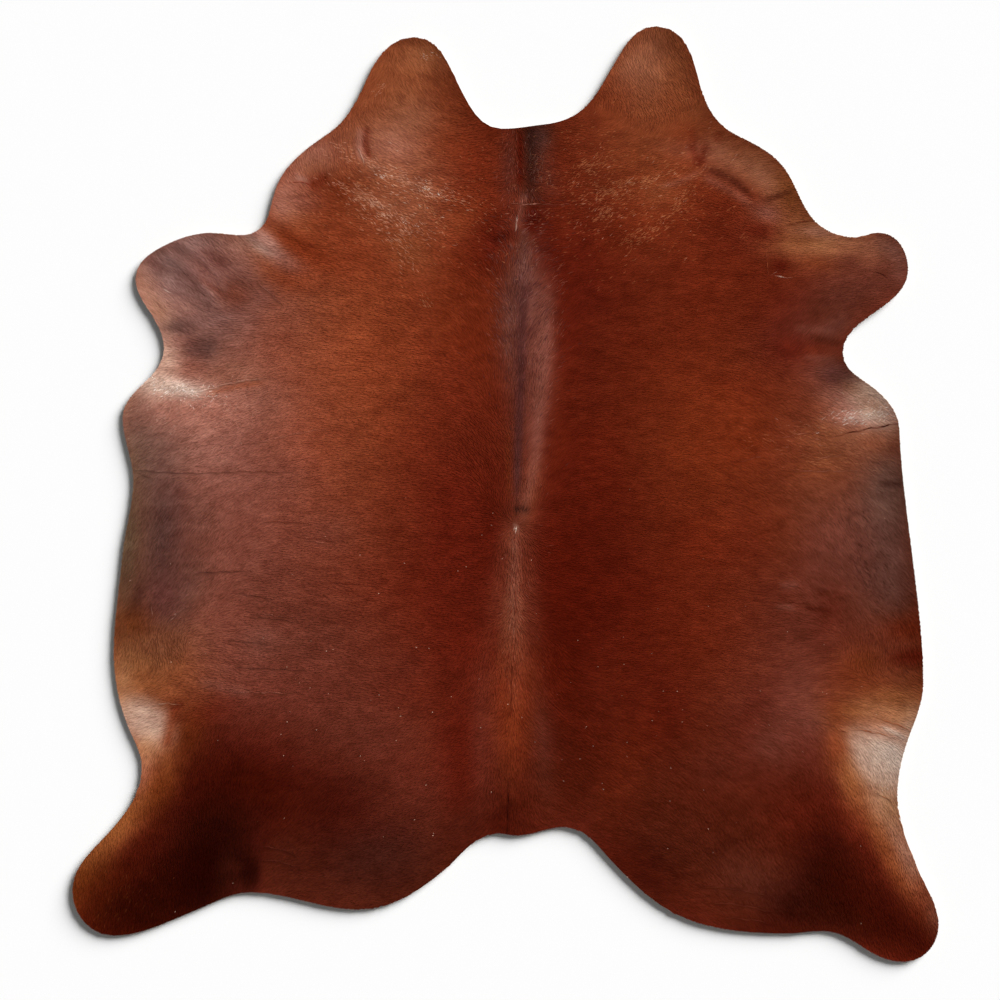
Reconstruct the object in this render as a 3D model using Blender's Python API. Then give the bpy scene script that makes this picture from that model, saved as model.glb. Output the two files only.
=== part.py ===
"""Cowhide rug: one whole hide with its hair on, lying flat with the hair side up.

Metres, +Z up. The spine runs along Y, with the neck at +Y and the tail at -Y. The origin is on the
floor, under the middle of the hide's box.
"""

import math
from typing import NamedTuple

import bpy
from mathutils import Vector

# Driving dimensions, in metres.
LEATHER = 0.0025  # the tanned skin
COAT = 0.0025  # the short hair lying flat on it
THICKNESS = LEATHER + COAT

STEPS_PER_SPAN = 6  # straight runs of the edge between one turn and the next

COAT_COLOUR = (0.150, 0.032, 0.014, 1.0)
COAT_ROUGHNESS = 0.55


class Turn(NamedTuple):
    """A place on the cut edge where its bend changes."""

    name: str
    x: float  # metres across the hide, from the spine side to side
    y: float  # metres along the hide, towards the neck
    heading: float  # degrees from +X: the way the edge runs here, counter-clockwise round the hide


# The cut edge, counter-clockwise from the notch at the neck.
EDGE = (
    Turn("neck notch, right end", 0.090, 0.850, 186),
    Turn("neck notch, left end", -0.010, 0.840, 178),
    Turn("left neck flap, inner side", -0.105, 0.935, 118),
    Turn("left neck flap, top", -0.210, 1.050, 180),
    Turn("left neck flap, outer side", -0.325, 0.940, 247),
    Turn("left shoulder, upper hollow", -0.405, 0.830, 214),
    Turn("left shoulder", -0.505, 0.745, 232),
    Turn("left shoulder, lower", -0.545, 0.640, 254),
    Turn("left foreleg, root", -0.600, 0.595, 184),
    Turn("left foreleg, upper edge", -0.680, 0.600, 181),
    Turn("left foreleg, corner", -0.775, 0.575, 206),
    Turn("left foreleg, tip", -0.850, 0.495, 270),
    Turn("left foreleg, lower edge", -0.815, 0.415, 302),
    Turn("left armpit", -0.785, 0.335, 270),
    Turn("left flank, shoulder", -0.830, 0.255, 222),
    Turn("left flank, lobe", -0.880, 0.175, 270),
    Turn("left flank, hollow", -0.855, 0.030, 270),
    Turn("left flank, middle", -0.880, -0.140, 265),
    Turn("left flank, bulge", -0.900, -0.365, 270),
    Turn("left flank, lower", -0.865, -0.540, 293),
    Turn("left groin", -0.835, -0.630, 270),
    Turn("left hind leg, outer edge", -0.905, -0.770, 229),
    Turn("left hind leg, outer corner", -0.995, -0.910, 270),
    Turn("left hind leg, end", -0.900, -1.015, 0),
    Turn("left hind leg, inner edge", -0.720, -0.960, 21),
    Turn("left haunch, hollow", -0.585, -0.915, 0),
    Turn("left haunch", -0.340, -0.955, 0),
    Turn("left of the tail", -0.135, -0.860, 41),
    Turn("tail notch, left crest", -0.020, -0.780, 2),
    Turn("tail nub", 0.025, -0.785, 0),
    Turn("tail notch, right crest", 0.135, -0.765, 0),
    Turn("right of the tail", 0.240, -0.840, 313),
    Turn("right haunch, inner", 0.425, -0.980, 341),
    Turn("right haunch", 0.645, -1.010, 0),
    Turn("right haunch, hollow", 0.740, -1.005, 355),
    Turn("right hind leg, inner edge", 0.835, -1.050, 328),
    Turn("right hind leg, end", 0.915, -1.075, 0),
    Turn("right hind leg, outer corner", 0.995, -0.990, 90),
    Turn("right hind leg, outer edge", 0.945, -0.855, 111),
    Turn("right groin", 0.900, -0.695, 90),
    Turn("right flank, lower", 0.930, -0.550, 69),
    Turn("right flank, bulge", 0.960, -0.435, 90),
    Turn("right flank, middle", 0.935, -0.145, 97),
    Turn("right flank, upper", 0.905, 0.150, 92),
    Turn("right flank, shoulder", 0.850, 0.240, 140),
    Turn("right armpit", 0.775, 0.325, 90),
    Turn("right foreleg, lower edge", 0.845, 0.415, 36),
    Turn("right foreleg, tip", 0.925, 0.515, 90),
    Turn("right foreleg, corner", 0.860, 0.600, 178),
    Turn("right foreleg, upper edge", 0.790, 0.590, 174),
    Turn("right foreleg, root", 0.700, 0.640, 126),
    Turn("right shoulder", 0.640, 0.750, 127),
    Turn("right shoulder, upper", 0.530, 0.825, 154),
    Turn("right neck flap, outer side", 0.450, 0.930, 105),
    Turn("right neck flap, top", 0.345, 1.075, 180),
    Turn("right neck flap, inner side", 0.245, 0.980, 239),
    Turn("neck notch, right corner", 0.165, 0.875, 213),
)


def empty_scene():
    """Removes the objects that a new Blender file opens with."""
    for thing in list(bpy.data.objects):
        bpy.data.objects.remove(thing, do_unlink=True)


def heading_of(turn):
    """Returns the unit vector along which the edge runs at a turn."""
    angle = math.radians(turn.heading)
    return Vector((math.cos(angle), math.sin(angle), 0.0))


def reach(chord, heading):
    """Returns a handle's length, for which two equal turns are joined by a true arc."""
    half_bend = chord.angle(heading)
    return chord.length / (3.0 * math.cos(half_bend / 2.0) ** 2)


def edge_curve(name, turns, thickness):
    """Returns a closed, filled flat curve through the turns, extruded to its thickness."""
    curve = bpy.data.curves.new(name, "CURVE")
    curve.dimensions = "2D"
    curve.fill_mode = "BOTH"
    curve.extrude = thickness / 2.0
    curve.resolution_u = STEPS_PER_SPAN
    curve.render_resolution_u = 0
    spline = curve.splines.new("BEZIER")
    spline.use_cyclic_u = True
    spline.bezier_points.add(len(turns) - 1)
    places = [Vector((turn.x, turn.y, 0.0)) for turn in turns]
    for index, (point, turn) in enumerate(zip(spline.bezier_points, turns)):
        place = places[index]
        heading = heading_of(turn)
        to_next = places[(index + 1) % len(turns)] - place
        from_last = place - places[index - 1]
        point.handle_left_type = "FREE"
        point.handle_right_type = "FREE"
        point.co = place
        point.handle_right = place + heading * reach(to_next, heading)
        point.handle_left = place - heading * reach(from_last, heading)
    return curve


def coat_material(name):
    """Returns the chestnut finish of the hair side."""
    material = bpy.data.materials.new(name)
    material.use_nodes = True
    shader = material.node_tree.nodes["Principled BSDF"]
    shader.inputs["Base Color"].default_value = COAT_COLOUR
    shader.inputs["Roughness"].default_value = COAT_ROUGHNESS
    shader.inputs["Metallic"].default_value = 0.0
    return material


def build_hide(collection):
    """Makes the hide: one flat sheet of skin and coat, resting on z = 0."""
    curve = edge_curve("hide", EDGE, THICKNESS)
    curve.materials.append(coat_material("hair_on_hide"))
    hide = bpy.data.objects.new("hide", curve)
    hide.location.z = THICKNESS / 2.0
    collection.objects.link(hide)
    return hide


def main():
    """Builds the rug in a collection of its own."""
    empty_scene()
    rug = bpy.data.collections.new("cowhide_rug")
    bpy.context.scene.collection.children.link(rug)
    build_hide(rug)


main()
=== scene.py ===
"""Cowhide rug: one whole hide with its short glossy hair, lying on a pale floor.

The tanned skin is one thin sheet with a suede underside. The coat on it is real hair: many small
locks, each laid along the way the hair grows, in bands from the neck to the rump.
"""

import logging
import math
from dataclasses import dataclass, field
from enum import Enum
from typing import NamedTuple

import bmesh
import bpy
import numpy as np
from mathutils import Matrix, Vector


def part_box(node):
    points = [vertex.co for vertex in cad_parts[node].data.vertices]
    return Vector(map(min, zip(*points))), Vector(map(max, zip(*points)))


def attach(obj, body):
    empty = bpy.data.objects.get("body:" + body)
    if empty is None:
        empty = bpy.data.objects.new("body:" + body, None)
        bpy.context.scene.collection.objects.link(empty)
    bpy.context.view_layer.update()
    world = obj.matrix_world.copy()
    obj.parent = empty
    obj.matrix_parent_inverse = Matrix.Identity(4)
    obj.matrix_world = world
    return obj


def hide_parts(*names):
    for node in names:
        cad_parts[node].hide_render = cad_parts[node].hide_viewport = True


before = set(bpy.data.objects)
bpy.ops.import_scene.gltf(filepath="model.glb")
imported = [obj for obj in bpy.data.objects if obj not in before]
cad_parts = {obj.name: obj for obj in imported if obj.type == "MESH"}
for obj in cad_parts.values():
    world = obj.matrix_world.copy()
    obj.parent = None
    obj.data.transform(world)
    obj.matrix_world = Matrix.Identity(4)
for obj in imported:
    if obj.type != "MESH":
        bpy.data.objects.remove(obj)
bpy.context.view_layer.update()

log = logging.getLogger("cowhide_rug")
Colour = tuple[float, float, float, float]  # red, green and blue in linear light, and 1

NODE = "hide"
BODY = "root"
TINT = "tint"  # the colour attribute that the hair's finishes read
MAP = "OFBake"  # the UV map of each piece

SPINE_X = 0.022  # metres: the spine runs a little to the right of the box's middle
HALF = math.log(2.0)  # makes a soft place half as strong at its stated size
REACH = 3.4  # times its stated size, beyond which a soft place counts for nothing

# A fold narrower than this is a sharp crease, which strays a little from its line in two waves.
FINE = 0.0045
SWAY = 0.0011
SLOW_WAVE = 0.047  # metres from one stray to the next
QUICK_WAVE = 0.021
QUICK_SHARE = 0.6  # of the slow wave's sway
SLOW_PHASE = 90.0  # radians for each metre of where a crease starts, so that no two are alike
QUICK_PHASE = 70.0
FOLD_FADE = 6.0  # a fold fades over one part in this many of its length, at either end

HAIR_SHADE = (1.10, 1.18, 1.24)  # times red, green and blue, for what shadow among the locks takes
UNDERHAIR_SHADE = (0.88, 0.94, 0.98)
STEEPEST = 0.7  # rise over run: how far a lock's sides may seem to lean
TINY = 1e-9


# ---------------------------------------------------------------- colours and soft places


def to_linear(display: np.ndarray) -> np.ndarray:
    """Turns display values, from 0 to 255, into the linear light that shaders take.

    Args:
        display: red, green and blue, in any number of rows.

    Returns:
        The same rows, from 0 to 1.
    """
    share = np.clip(np.asarray(display, float) / 255.0, 0.0, 1.0)
    return np.where(share <= 0.04045, share / 12.92, ((share + 0.055) / 1.055) ** 2.4)


def oval(
    row: "Patch | Swell | Fleck", x: np.ndarray, y: np.ndarray, edge: float = 1.0
) -> np.ndarray:
    """Measures how far each place is inside a row's soft oval.

    Args:
        row: the row that gives the oval's middle, length, width and turn.
        x: metres across the hide.
        y: metres along it.
        edge: 1 fades like mist, and more gives the oval a firmer edge.

    Returns:
        1 at the middle, a half at the row's length and width, and nothing far outside.
    """
    angle = math.radians(row.turn)
    share = np.zeros(len(x))
    reach = REACH * max(row.long, row.wide)
    near = (np.abs(x - row.x) < reach) & (np.abs(y - row.y) < reach)
    east, north = x[near] - row.x, y[near] - row.y
    along = (east * math.cos(angle) + north * math.sin(angle)) / row.long
    across = (north * math.cos(angle) - east * math.sin(angle)) / row.wide
    share[near] = np.exp(-HALF * (along**2 + across**2) ** edge)
    return share


def fading(along: np.ndarray, rate: float) -> np.ndarray:
    """Returns 1 along a line, and less towards its ends, over one part in rate of its length."""
    return np.clip(rate * along, 0.0, 1.0) * np.clip(rate * (1.0 - along), 0.0, 1.0)


def between_points(
    lattice: np.ndarray, column: np.ndarray, row: np.ndarray, level: bool = False
) -> np.ndarray:
    """Reads a lattice of values at places between its points.

    Args:
        lattice: the values, by column and row. Past its sides it starts again.
        column: how many columns across each place is.
        row: how many rows up.
        level: whether the values level off at each point, so that no crease shows there.

    Returns:
        The value at each place.
    """
    left, low = np.floor(column).astype(int), np.floor(row).astype(int)
    u, v = column - left, row - low
    if level:
        u, v = u * u * (3.0 - 2.0 * u), v * v * (3.0 - 2.0 * v)
    columns, rows = lattice.shape

    def corner(right: int, up: int) -> np.ndarray:
        """Returns the lattice's value at one corner of each place's cell."""
        return lattice[(left + right) % columns, (low + up) % rows]

    bottom = corner(0, 0) * (1.0 - u) + corner(1, 0) * u
    top = corner(0, 1) * (1.0 - u) + corner(1, 1) * u
    return bottom * (1.0 - v) + top * v


class Tint(Enum):
    """The hair's colours in even light: red, green and blue, from 0 to 255. The glint is a painted
    highlight and the lilac a painted sheen and highlight; rose, mauve, blush, cream and ivory are the
    hair's own colour in most places and painted sheen and highlight in others.
    """

    BAY = (100, 31, 13)
    COPPER = (117, 43, 18)
    RUST = (110, 42, 19)
    SADDLE = (139, 62, 32)
    RUSSET = (122, 61, 42)
    GINGER = (134, 70, 40)
    HONEY = (158, 98, 72)
    PEACH = (172, 102, 64)
    CLAY = (156, 84, 44)
    WINE = (86, 21, 9)
    GARNET = (76, 14, 4)
    COCOA = (66, 22, 12)
    CINNAMON = (88, 34, 9)
    BISTRE = (56, 9, 2)
    SABLE = (26, 1, 0)
    INK = (50, 22, 16)
    PLUM = (98, 44, 32)
    DAMSON = (76, 36, 32)
    ROSE = (134, 78, 64)
    BLUSH = (168, 108, 90)
    SLATE = (78, 48, 42)
    TAUPE = (104, 74, 62)
    OLIVE = (76, 56, 40)
    MAUVE = (130, 86, 76)
    # painted sheen and highlight: the lavender the hair shows where it catches the pale light
    LILAC_SHEEN = (160, 116, 106)
    AMBER = (136, 72, 35)
    SAND = (172, 118, 80)
    BUFF = (166, 114, 88)
    CREAM = (190, 152, 130)
    IVORY = (212, 186, 168)
    UMBER = (112, 64, 54)
    MOCHA = (94, 57, 47)
    FAWN = (184, 126, 100)
    STRAW = (172, 104, 68)
    # painted highlight, for hair where it glints
    GLINT = (250, 236, 220)


class Patch(NamedTuple):
    """A soft oval of one tint in the coat."""

    name: str
    tint: Tint
    x: float
    y: float
    long: float  # from its middle, along it, to where it is half as strong
    wide: float  # the same, across it
    turn: float = 0.0  # degrees from +X to its length
    strength: float = 1.0
    edge: float = 1.0  # 1 fades like mist, and more gives it a firmer edge

    def tinting(self, x: np.ndarray, y: np.ndarray) -> np.ndarray:
        """Returns how much of the tint each place takes."""
        return self.strength * oval(self, x, y, self.edge)


# From the widest tones to the smallest marks: each is laid over those before it.
PATCHES = (
    # The broad tones of the back. The saddle glow on the left back is painted sheen: the hair there is
    # lighter where it catches the light.
    Patch("left back, saddle glow", Tint.SADDLE, -0.36, 0.3, 0.44, 0.26, 96, 0.88),
    # Left side: the rosy tone is painted sheen over the hair's own brown.
    Patch("rosy", Tint.ROSE, -0.67, 0.08, 0.28, 0.19, 90, 0.95),
    Patch("rosy, lower", Tint.ROSE, -0.59, -0.13, 0.09, 0.08, 0, 0.46),
    Patch("rosy, inner", Tint.ROSE, -0.41, -0.09, 0.055, 0.045, 0, 0.36),
    Patch("rosy, middle", Tint.ROSE, -0.51, 0.03, 0.055, 0.045, 0, 0.28),
    # Left shoulder.
    Patch("rosy side", Tint.ROSE, -0.56, 0.43, 0.09, 0.06, -40, 0.2),
    Patch("warm side", Tint.COPPER, -0.535, 0.4, 0.07, 0.055, -50, 0.55),
    # Left loin.
    Patch("plum", Tint.PLUM, -0.46, -0.42, 0.32, 0.25, 100, 0.85),
    Patch("rosy", Tint.ROSE, -0.65, -0.37, 0.17, 0.11, 90, 0.45),
    Patch("rosy, outer", Tint.ROSE, -0.69, -0.335, 0.05, 0.034, 60, 0.45),
    # Left shoulder.
    Patch("honey", Tint.HONEY, -0.25, 0.78, 0.13, 0.08, -25, 0.7),
    Patch("bright", Tint.HONEY, -0.235, 0.655, 0.11, 0.05, -28, 0.45),
    Patch("bright, lower", Tint.GINGER, -0.22, 0.56, 0.06, 0.045, -40, 0.82),
    # Left neck.
    Patch("ginger", Tint.GINGER, -0.23, 0.96, 0.18, 0.12, 70, 0.85),
    Patch("flap light", Tint.PEACH, -0.195, 1.0, 0.042, 0.027, 0, 0.86),
    Patch("root light", Tint.HONEY, -0.212, 0.86, 0.06, 0.045, 20, 0.5),
    Patch("inner side", Tint.SADDLE, -0.118, 0.895, 0.065, 0.035, 110, 0.55),
    Patch("inner foot", Tint.RUST, -0.13, 0.795, 0.06, 0.035, -20, 0.6),
    # Right neck.
    Patch("ginger", Tint.GINGER, 0.34, 0.98, 0.18, 0.12, 90, 0.85),
    Patch("light", Tint.HONEY, 0.325, 0.985, 0.075, 0.045, 75, 0.58),
    Patch("honey side", Tint.HONEY, 0.285, 0.975, 0.04, 0.026, 70, 0.42),
    Patch("rim light", Tint.GINGER, 0.4, 0.975, 0.075, 0.024, 100, 0.62),
    Patch("rust side", Tint.RUST, 0.262, 0.9, 0.05, 0.028, 60, 0.4),
    # Right shoulder.
    Patch("upper rim", Tint.GINGER, 0.435, 0.87, 0.05, 0.035, 60, 0.62),
    Patch("copper", Tint.SADDLE, 0.34, 0.745, 0.23, 0.12, 8, 0.68),
    Patch("copper, lower", Tint.COPPER, 0.24, 0.58, 0.07, 0.045, 60, 0.72),
    Patch("glow", Tint.GINGER, 0.4, 0.79, 0.13, 0.07, -20, 0.2),
    # Right shoulder rim.
    Patch("ginger", Tint.GINGER, 0.63, 0.7, 0.15, 0.06, -52, 0.9),
    Patch("corner", Tint.HONEY, 0.505, 0.762, 0.06, 0.03, -25, 0.6),
    # Right shoulder.
    Patch("hollow", Tint.BAY, 0.54, 0.62, 0.13, 0.07, -35, 0.95),
    Patch("hollow middle", Tint.WINE, 0.556, 0.578, 0.06, 0.036, -20, 0.66),
    Patch("lower dark", Tint.WINE, 0.645, 0.385, 0.09, 0.072, 80, 0.85),
    Patch("right back, copper", Tint.COPPER, 0.47, 0.12, 0.24, 0.17, -10, 0.9),
    # Right side.
    Patch("rosy", Tint.UMBER, 0.765, -0.1, 0.3, 0.11, 92, 0.62),
    Patch("bay", Tint.BAY, 0.6, -0.06, 0.12, 0.06, 80, 0.6),
    Patch("rust", Tint.BAY, 0.705, 0.06, 0.06, 0.035, 0, 0.62),
    # Left loin.
    Patch("rosy spot", Tint.ROSE, -0.22, -0.4, 0.045, 0.032, 0, 0.2),
    Patch("mocha spot", Tint.MOCHA, -0.562, -0.34, 0.04, 0.03, 0, 0.28),
    Patch("left haunch, dark spot", Tint.COCOA, -0.36, -0.672, 0.052, 0.036, 0, 0.6),
    # Spine.
    Patch("wine spot", Tint.WINE, -0.07, -0.33, 0.038, 0.026, 90, 0.5),
    Patch("damson spot", Tint.DAMSON, -0.042, -0.562, 0.038, 0.022, 90, 0.38),
    Patch("withers, left spot", Tint.ROSE, 0.008, 0.458, 0.032, 0.014, 90, 0.34),
    Patch("right shoulder, ginger spot", Tint.GINGER, 0.35, 0.69, 0.042, 0.03, 0, 0.55),
    Patch("right flank, dark hollow", Tint.WINE, 0.745, -0.275, 0.06, 0.035, 70, 0.62),
    # Right side.
    Patch("glow", Tint.GINGER, 0.75, 0.1, 0.13, 0.08, 60, 0.7),
    Patch("rim glow", Tint.SADDLE, 0.838, 0.095, 0.075, 0.05, 60, 0.55),
    Patch("armpit glow", Tint.HONEY, 0.845, 0.136, 0.052, 0.026, 10, 0.85),
    Patch("left of the spine, wine", Tint.WINE, -0.11, -0.16, 0.38, 0.14, 90, 0.92),
    Patch("left of the whorl", Tint.GARNET, -0.032, -0.115, 0.1, 0.026, 90, 0.66),
    # Left of the withers.
    Patch("bay", Tint.BAY, -0.045, 0.66, 0.19, 0.07, 90, 0.95),
    Patch("saddle", Tint.SADDLE, -0.105, 0.63, 0.055, 0.034, 60, 0.5),
    Patch("right of the spine, garnet", Tint.GARNET, 0.17, -0.3, 0.46, 0.15, 90, 0.9),
    Patch("right of the withers, wine", Tint.WINE, 0.17, 0.46, 0.24, 0.1, 90, 0.85),
    # Right of the spine.
    Patch("bay", Tint.BAY, 0.235, 0.335, 0.09, 0.055, 90, 0.42),
    Patch("lower", Tint.BAY, 0.232, -0.435, 0.09, 0.045, 90, 0.45),
    Patch("beside the neck tuft", Tint.BAY, 0.1, 0.72, 0.12, 0.045, 90, 0.75),
    # Beside the withers.
    Patch("left, dark", Tint.WINE, -0.03, 0.578, 0.055, 0.032, 60, 0.78),
    Patch("right, dark", Tint.GARNET, 0.092, 0.555, 0.07, 0.033, 95, 0.72),
    Patch("tuft, dark hollow", Tint.GARNET, 0.075, 0.625, 0.03, 0.02, 90, 0.6),
    # Right loin.
    Patch("plum", Tint.PLUM, 0.66, -0.48, 0.26, 0.12, 84, 0.62),
    Patch("rosy", Tint.ROSE, 0.64, -0.56, 0.11, 0.07, -35, 0.42),
    Patch("wine", Tint.WINE, 0.555, -0.535, 0.07, 0.035, 60, 0.5),
    Patch("garnet", Tint.GARNET, 0.37, -0.52, 0.09, 0.05, 80, 0.5),
    Patch("plum, inner", Tint.PLUM, 0.49, -0.63, 0.08, 0.045, 0, 0.4),
    Patch("rosy, upper", Tint.ROSE, 0.715, -0.525, 0.05, 0.035, 0, 0.42),
    Patch("rosy, inner", Tint.ROSE, 0.63, -0.596, 0.05, 0.034, -30, 0.45),
    Patch("rosy, high", Tint.ROSE, 0.682, -0.442, 0.05, 0.042, 60, 0.3),
    # Left rump.
    Patch("cocoa", Tint.COCOA, -0.34, -0.88, 0.32, 0.16, 5, 0.97),
    Patch("dark", Tint.BISTRE, -0.365, -0.715, 0.13, 0.08, -10, 0.66),
    Patch("inky", Tint.INK, -0.285, -0.815, 0.1, 0.055, 10, 0.52),
    Patch("plum", Tint.PLUM, -0.215, -0.69, 0.11, 0.08, 0, 0.42),
    Patch("rosy", Tint.PLUM, -0.3, -0.55, 0.1, 0.07, 0, 0.45),
    # Right rump.
    Patch("cocoa", Tint.COCOA, 0.42, -0.84, 0.34, 0.2, -16, 0.78),
    Patch("inner edge", Tint.BISTRE, 0.3, -0.86, 0.11, 0.045, -40, 0.75),
    Patch("bay", Tint.BAY, 0.272, -0.655, 0.11, 0.055, 80, 0.62),
    # Left haunch.
    Patch("bistre", Tint.BISTRE, -0.59, -0.67, 0.17, 0.12, -12, 0.95),
    Patch("outer", Tint.CINNAMON, -0.728, -0.548, 0.065, 0.036, 80, 0.8),
    Patch("edge", Tint.WINE, -0.68, -0.5, 0.055, 0.03, 20, 0.5),
    # Hind legs.
    # Left hind leg.
    Patch("thigh", Tint.BISTRE, -0.7, -0.69, 0.12, 0.07, 70, 0.72),
    Patch("sable", Tint.SABLE, -0.705, -0.87, 0.15, 0.09, 60, 1.0, 1.3),
    Patch("calf", Tint.BISTRE, -0.85, -0.92, 0.13, 0.09, 40, 0.85),
    Patch("shin", Tint.BISTRE, -0.825, -0.8, 0.07, 0.035, 50, 0.4),
    # Left haunch.
    Patch("dark oval", Tint.SABLE, -0.588, -0.87, 0.042, 0.023, 90, 0.75, 2.0),
    Patch("beside the oval", Tint.COCOA, -0.51, -0.87, 0.07, 0.045, 90, 0.85, 2.0),
    Patch("between", Tint.COCOA, -0.64, -0.862, 0.032, 0.02, 80, 0.35),
    # Left hind leg.
    Patch("foot", Tint.BISTRE, -0.912, -0.975, 0.13, 0.058, -14, 0.98),
    Patch("sole", Tint.SABLE, -0.875, -0.955, 0.1, 0.05, -14, 0.5),
    Patch("dark foot", Tint.SABLE, -0.76, -0.9, 0.08, 0.05, 10, 0.45),
    Patch("heel", Tint.CINNAMON, -0.963, -0.888, 0.075, 0.05, 62, 0.97, 1.4),
    Patch("outer edge", Tint.AMBER, -0.895, -0.768, 0.155, 0.036, 48, 0.95, 1.3),
    Patch("upper edge", Tint.HONEY, -0.836, -0.635, 0.05, 0.022, 80, 0.6, 1.3),
    Patch("dark heel", Tint.CINNAMON, -0.955, -0.9, 0.055, 0.045, 62, 0.82),
    Patch("heel's shade", Tint.BISTRE, -0.935, -0.93, 0.05, 0.034, 50, 0.55),
    Patch("calf's edge", Tint.BISTRE, -0.895, -0.885, 0.05, 0.032, 50, 0.45),
    Patch("toe", Tint.SABLE, -0.92, -0.968, 0.045, 0.03, -14, 0.22),
    Patch("knee", Tint.CINNAMON, -0.797, -0.695, 0.055, 0.024, 62, 0.55),
    Patch("knee dark", Tint.CINNAMON, -0.778, -0.668, 0.034, 0.022, 62, 0.45),
    Patch("knee light", Tint.AMBER, -0.782, -0.612, 0.04, 0.02, 80, 0.45),
    # Right hind leg.
    Patch("thigh", Tint.WINE, 0.71, -0.73, 0.15, 0.09, -60, 0.75),
    Patch("dark inside", Tint.SABLE, 0.742, -0.895, 0.11, 0.075, 80, 0.74),
    Patch("calf", Tint.BISTRE, 0.8, -0.915, 0.12, 0.065, -55, 0.75, 1.3),
    Patch("foot", Tint.BISTRE, 0.9, -1.005, 0.11, 0.06, -20, 0.95),
    Patch("dark rim", Tint.BISTRE, 0.958, -0.97, 0.045, 0.034, 70, 0.95),
    Patch("dark toe", Tint.SABLE, 0.785, -0.975, 0.075, 0.03, -18, 0.42),
    # Right haunch.
    Patch("dark corner", Tint.SABLE, 0.648, -0.958, 0.06, 0.04, -20, 0.52),
    Patch("lower edge", Tint.BISTRE, 0.6, -1.01, 0.17, 0.032, 0, 0.65),
    Patch("plum", Tint.PLUM, 0.56, -0.88, 0.07, 0.045, -10, 0.55),
    # Right hind leg.
    Patch("amber", Tint.CLAY, 0.874, -0.8, 0.17, 0.03, -62, 0.66, 1.4),
    Patch("outer edge", Tint.FAWN, 0.918, -0.8, 0.18, 0.027, -67, 0.86, 1.4),
    Patch("sand", Tint.SAND, 0.872, -0.706, 0.058, 0.034, -62, 0.95),
    Patch("inner light", Tint.PEACH, 0.82, -0.664, 0.036, 0.024, -70, 0.6),
    Patch("sand, middle", Tint.FAWN, 0.85, -0.708, 0.03, 0.022, -60, 0.38),
    Patch("rim at the foot", Tint.SADDLE, 0.956, -0.912, 0.034, 0.026, -65, 0.62),
    Patch("toe's rust", Tint.BAY, 0.955, -0.958, 0.034, 0.026, 70, 0.5),
    Patch("wine", Tint.WINE, 0.806, -0.8, 0.06, 0.026, -62, 0.6),
    Patch("thigh's edge", Tint.WINE, 0.788, -0.726, 0.042, 0.024, -62, 0.68),
    # Groins: tan above, pale in the hollow.
    # Left groin.
    Patch("tan", Tint.AMBER, -0.822, -0.395, 0.095, 0.09, 90, 0.98),
    Patch("tan rim", Tint.SAND, -0.885, -0.445, 0.05, 0.025, 85, 0.55),
    Patch("pale", Tint.CREAM, -0.828, -0.523, 0.07, 0.048, -38, 0.82, 2.4),
    Patch("bright", Tint.IVORY, -0.82, -0.535, 0.03, 0.02, -40, 0.15),
    Patch("below", Tint.SAND, -0.825, -0.59, 0.03, 0.03, 0, 0.7),
    # Right groin.
    Patch("rust", Tint.RUST, 0.89, -0.37, 0.1, 0.07, 10, 0.9),
    Patch("rust, upper", Tint.COCOA, 0.875, -0.325, 0.08, 0.032, 0, 0.4),
    Patch("rust, inner", Tint.RUST, 0.85, -0.416, 0.07, 0.034, 0, 0.6),
    Patch("amber", Tint.CLAY, 0.89, -0.462, 0.08, 0.042, -5, 0.72),
    Patch("tan", Tint.SAND, 0.893, -0.512, 0.085, 0.034, -5, 0.85),
    Patch("upper light", Tint.CLAY, 0.79, -0.53, 0.045, 0.03, -30, 0.66),
    Patch("inner edge", Tint.CLAY, 0.79, -0.635, 0.085, 0.024, -82, 0.85),
    Patch("pale", Tint.CREAM, 0.862, -0.605, 0.086, 0.058, -55, 0.95, 2.0),
    Patch("bright", Tint.IVORY, 0.9, -0.598, 0.048, 0.024, -65, 0.72),
    Patch("middle light", Tint.IVORY, 0.843, -0.588, 0.03, 0.02, -40, 0.48),
    Patch("upper rim", Tint.FAWN, 0.88, -0.542, 0.055, 0.02, -12, 0.78),
    Patch("rim", Tint.CREAM, 0.93, -0.545, 0.04, 0.02, 75, 0.7),
    Patch("corner", Tint.RUST, 0.772, -0.506, 0.04, 0.026, -60, 0.84),
    Patch("corner, lower", Tint.SADDLE, 0.752, -0.6, 0.04, 0.018, -85, 0.5),
    Patch("inner light", Tint.BUFF, 0.815, -0.572, 0.028, 0.019, -50, 0.55),
    Patch("corner, under", Tint.SADDLE, 0.768, -0.578, 0.027, 0.018, -75, 0.68),
    Patch("inner cream", Tint.CREAM, 0.826, -0.574, 0.034, 0.022, -50, 0.6),
    Patch("rust corner", Tint.RUST, 0.845, -0.424, 0.055, 0.028, 0, 0.7),
    Patch("dark rust", Tint.CINNAMON, 0.83, -0.385, 0.036, 0.024, 0, 0.5),
    Patch("peach", Tint.PEACH, 0.872, -0.51, 0.06, 0.022, 0, 0.72),
    Patch("peach, inner", Tint.HONEY, 0.822, -0.52, 0.036, 0.022, -20, 0.45),
    Patch("amber, inner", Tint.AMBER, 0.802, -0.5, 0.03, 0.02, 0, 0.6),
    Patch("amber, rim", Tint.AMBER, 0.89, -0.468, 0.04, 0.018, -5, 0.55),
    # Flanks: slate inside, olive along the rim.
    # Left flank.
    Patch("slate", Tint.SLATE, -0.79, -0.09, 0.22, 0.05, 88, 0.95),
    Patch("taupe", Tint.TAUPE, -0.84, 0.11, 0.1, 0.05, 90, 0.78),
    Patch("lobe", Tint.SLATE, -0.845, 0.162, 0.05, 0.04, 90, 0.7),
    Patch("brown hollow", Tint.SLATE, -0.818, 0.045, 0.055, 0.035, 90, 0.55),
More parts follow.
